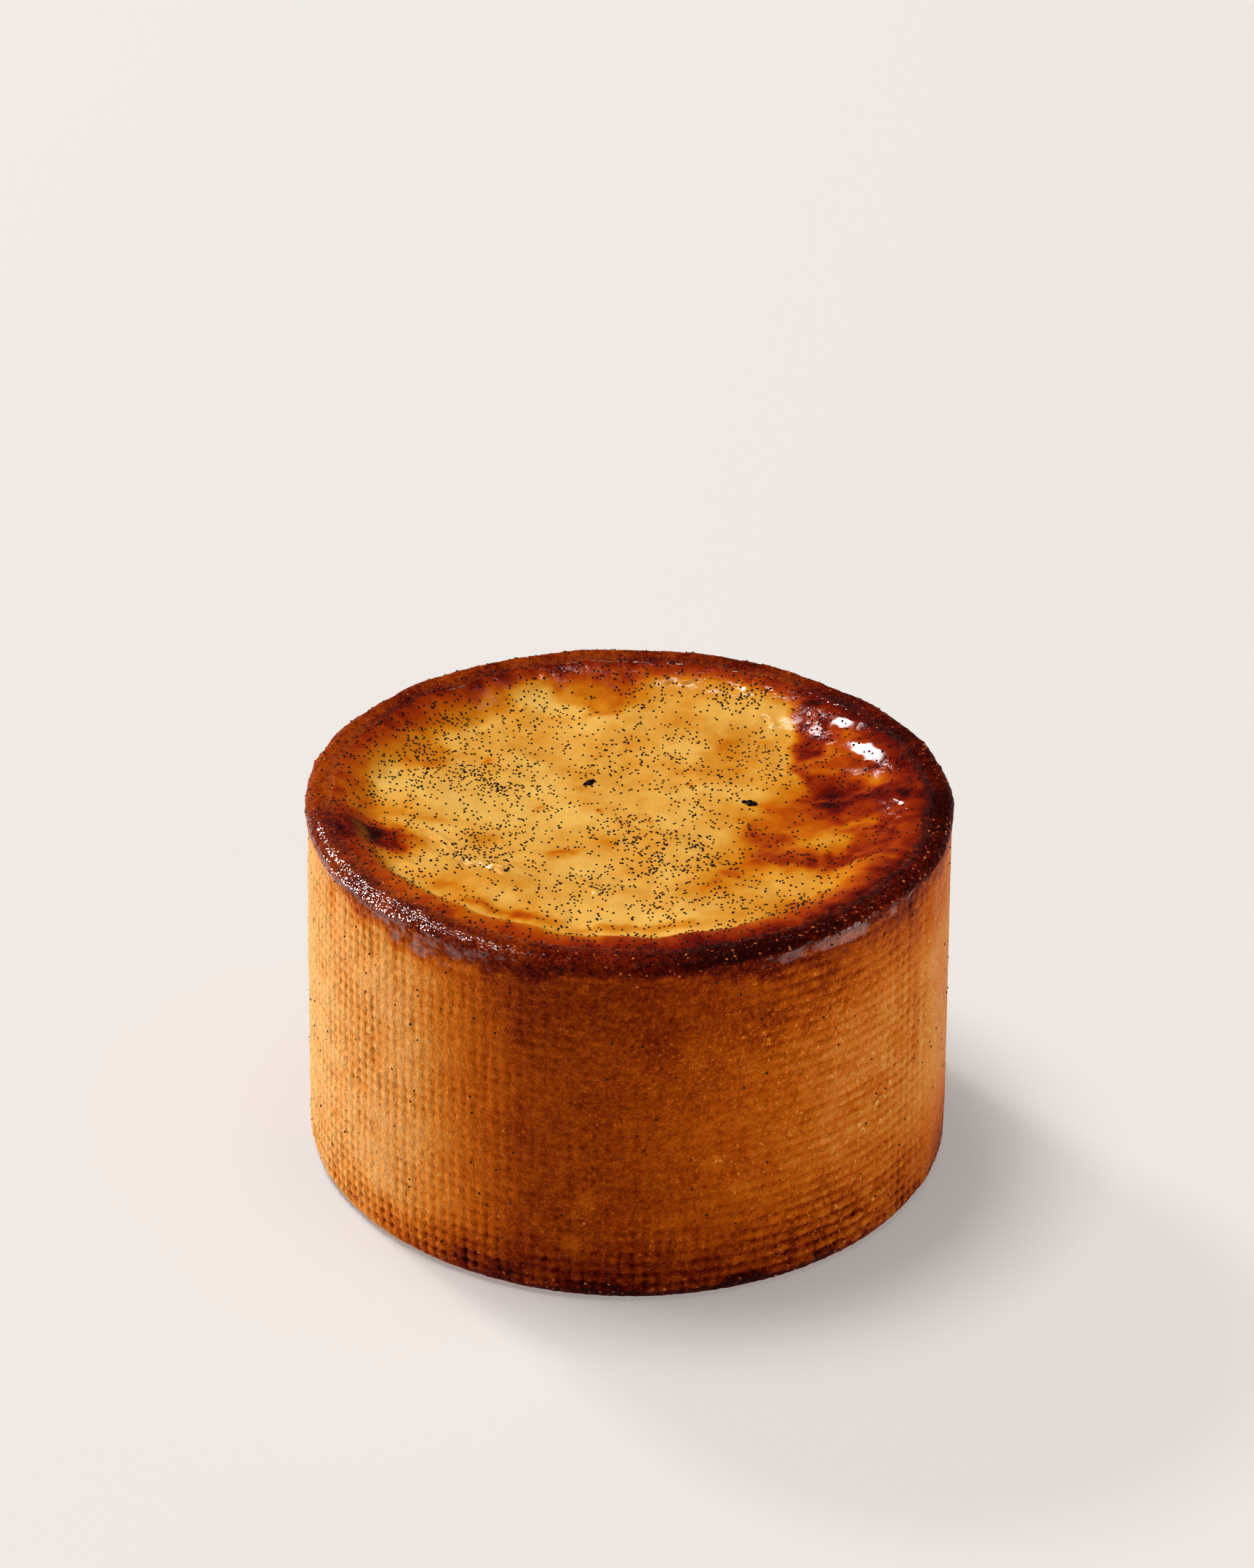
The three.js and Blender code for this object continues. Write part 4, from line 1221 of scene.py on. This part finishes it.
# ---------------------------------------------------------------------------
# Floor. A plain pale studio surface, far wider than the view.
# ---------------------------------------------------------------------------
FLOOR_HALF = 40.0
FLOOR_COLOUR = (0.86, 0.822, 0.79, 1)
FLOOR_ROUGHNESS = 0.8
FLOOR_SPECULAR = 0.1
floor_mesh = bpy.data.meshes.new("floor")
corners = [(FLOOR_HALF * side, FLOOR_HALF * end, 0) for side, end in ((-1, -1), (1, -1), (1, 1), (-1, 1))]
floor_mesh.from_pydata(corners, [], [(0, 1, 2, 3)])
floor = placed("floor", floor_mesh)
floor_paint, _, floor_shader = material_tree("pale_floor")
set_constants(floor_shader, {"Base Color": FLOOR_COLOUR, "Roughness": FLOOR_ROUGHNESS})
set_constants(floor_shader, {"Specular IOR Level": FLOOR_SPECULAR})
floor_mesh.materials.append(floor_paint)

# ---------------------------------------------------------------------------
# Light. A high soft key from the back left casts the short soft shadow, a low one at the left lights the
# side, one behind mirrors in the glaze, and a weak one fills from the right.
# ---------------------------------------------------------------------------
LIGHT_DISTANCE = 9.0


def softbox(name, azimuth, elevation, wide, tall, power, colour, shadow=True):
    """A rectangular lamp that faces the tart, from so many degrees round and up, with its power in watts."""
    lamp = bpy.data.lights.new(name, "AREA")
    lamp.shape = "RECTANGLE"
    lamp.size = wide
    lamp.size_y = tall
    lamp.energy = power
    lamp.color = colour
    lamp.use_shadow = shadow
    box = bpy.data.objects.new(name, lamp)
    a, e = math.radians(azimuth), math.radians(elevation)
    towards = Vector((math.cos(a) * math.cos(e), math.sin(a) * math.cos(e), math.sin(e)))
    box.location = Vector((0, 0, 0.5 * CREST_HEIGHT)) + LIGHT_DISTANCE * towards
    box.rotation_euler = towards.to_track_quat("Z", "Y").to_euler()
    bpy.context.scene.collection.objects.link(box)


softbox("key", 148, 72, 3.3, 3.0, 350.0, (1, 0.99, 0.97))
softbox("overhead", 0, 89, 5.0, 5.0, 112.0, (1, 0.98, 0.96))
softbox("back_glare", 130, 38, 1.2, 1.0, 150.0, (1, 0.97, 0.98))
softbox("left_side", 167, 18, 1.8, 1.5, 600.0, (1, 0.985, 0.96), shadow=False)
softbox("right_fill", -24, 15, 7.0, 5.0, 330.0, (1, 0.98, 0.96), shadow=False)
AIR_COLOUR = (0.97, 0.98, 1.0, 1)
AIR_STRENGTH = 0.04
world = bpy.data.worlds.new("studio")
world.use_nodes = True
background = world.node_tree.nodes["Background"]
background.inputs["Color"].default_value = AIR_COLOUR
background.inputs["Strength"].default_value = AIR_STRENGTH
bpy.context.scene.world = world
bpy.context.scene.view_settings.view_transform = "Standard"

# ---------------------------------------------------------------------------
# Camera. It stands 0.6 m from the top of the tart and 29 degrees above it. The aim and the focal length
# put the tart where the photograph has it, in pixels of a picture of that size.
# ---------------------------------------------------------------------------
IMAGE_WIDTH = 1724
IMAGE_HEIGHT = 2156
FOCAL_PIXELS = 6686.75
AIM_POINT = Vector((0, 0, 47.17 * MM))
AIM_RIGHT = 864.28 - IMAGE_WIDTH / 2
AIM_DOWN = 1096.9 - IMAGE_HEIGHT / 2
CAMERA_DISTANCE = 0.6
CAMERA_ELEVATION = 0.50765
CAMERA_ROLL = 0.0066
camera_data = bpy.data.cameras.new("camera")
camera_data.sensor_width = 36
camera_data.lens = FOCAL_PIXELS / IMAGE_HEIGHT * camera_data.sensor_width
camera = bpy.data.objects.new("camera", camera_data)
back = Vector((0, -math.cos(CAMERA_ELEVATION), math.sin(CAMERA_ELEVATION)))
camera.location = AIM_POINT + CAMERA_DISTANCE * back
seen_at = Vector((AIM_RIGHT, -AIM_DOWN, -FOCAL_PIXELS)).normalized()
nudge = seen_at.rotation_difference(Vector((0, 0, -1)))
roll = Matrix.Rotation(CAMERA_ROLL, 3, "Z")
looking = (-back).to_track_quat("-Z", "Y").to_matrix() @ nudge.to_matrix() @ roll
camera.rotation_euler = looking.to_euler()
bpy.context.scene.collection.objects.link(camera)
bpy.context.scene.camera = camera
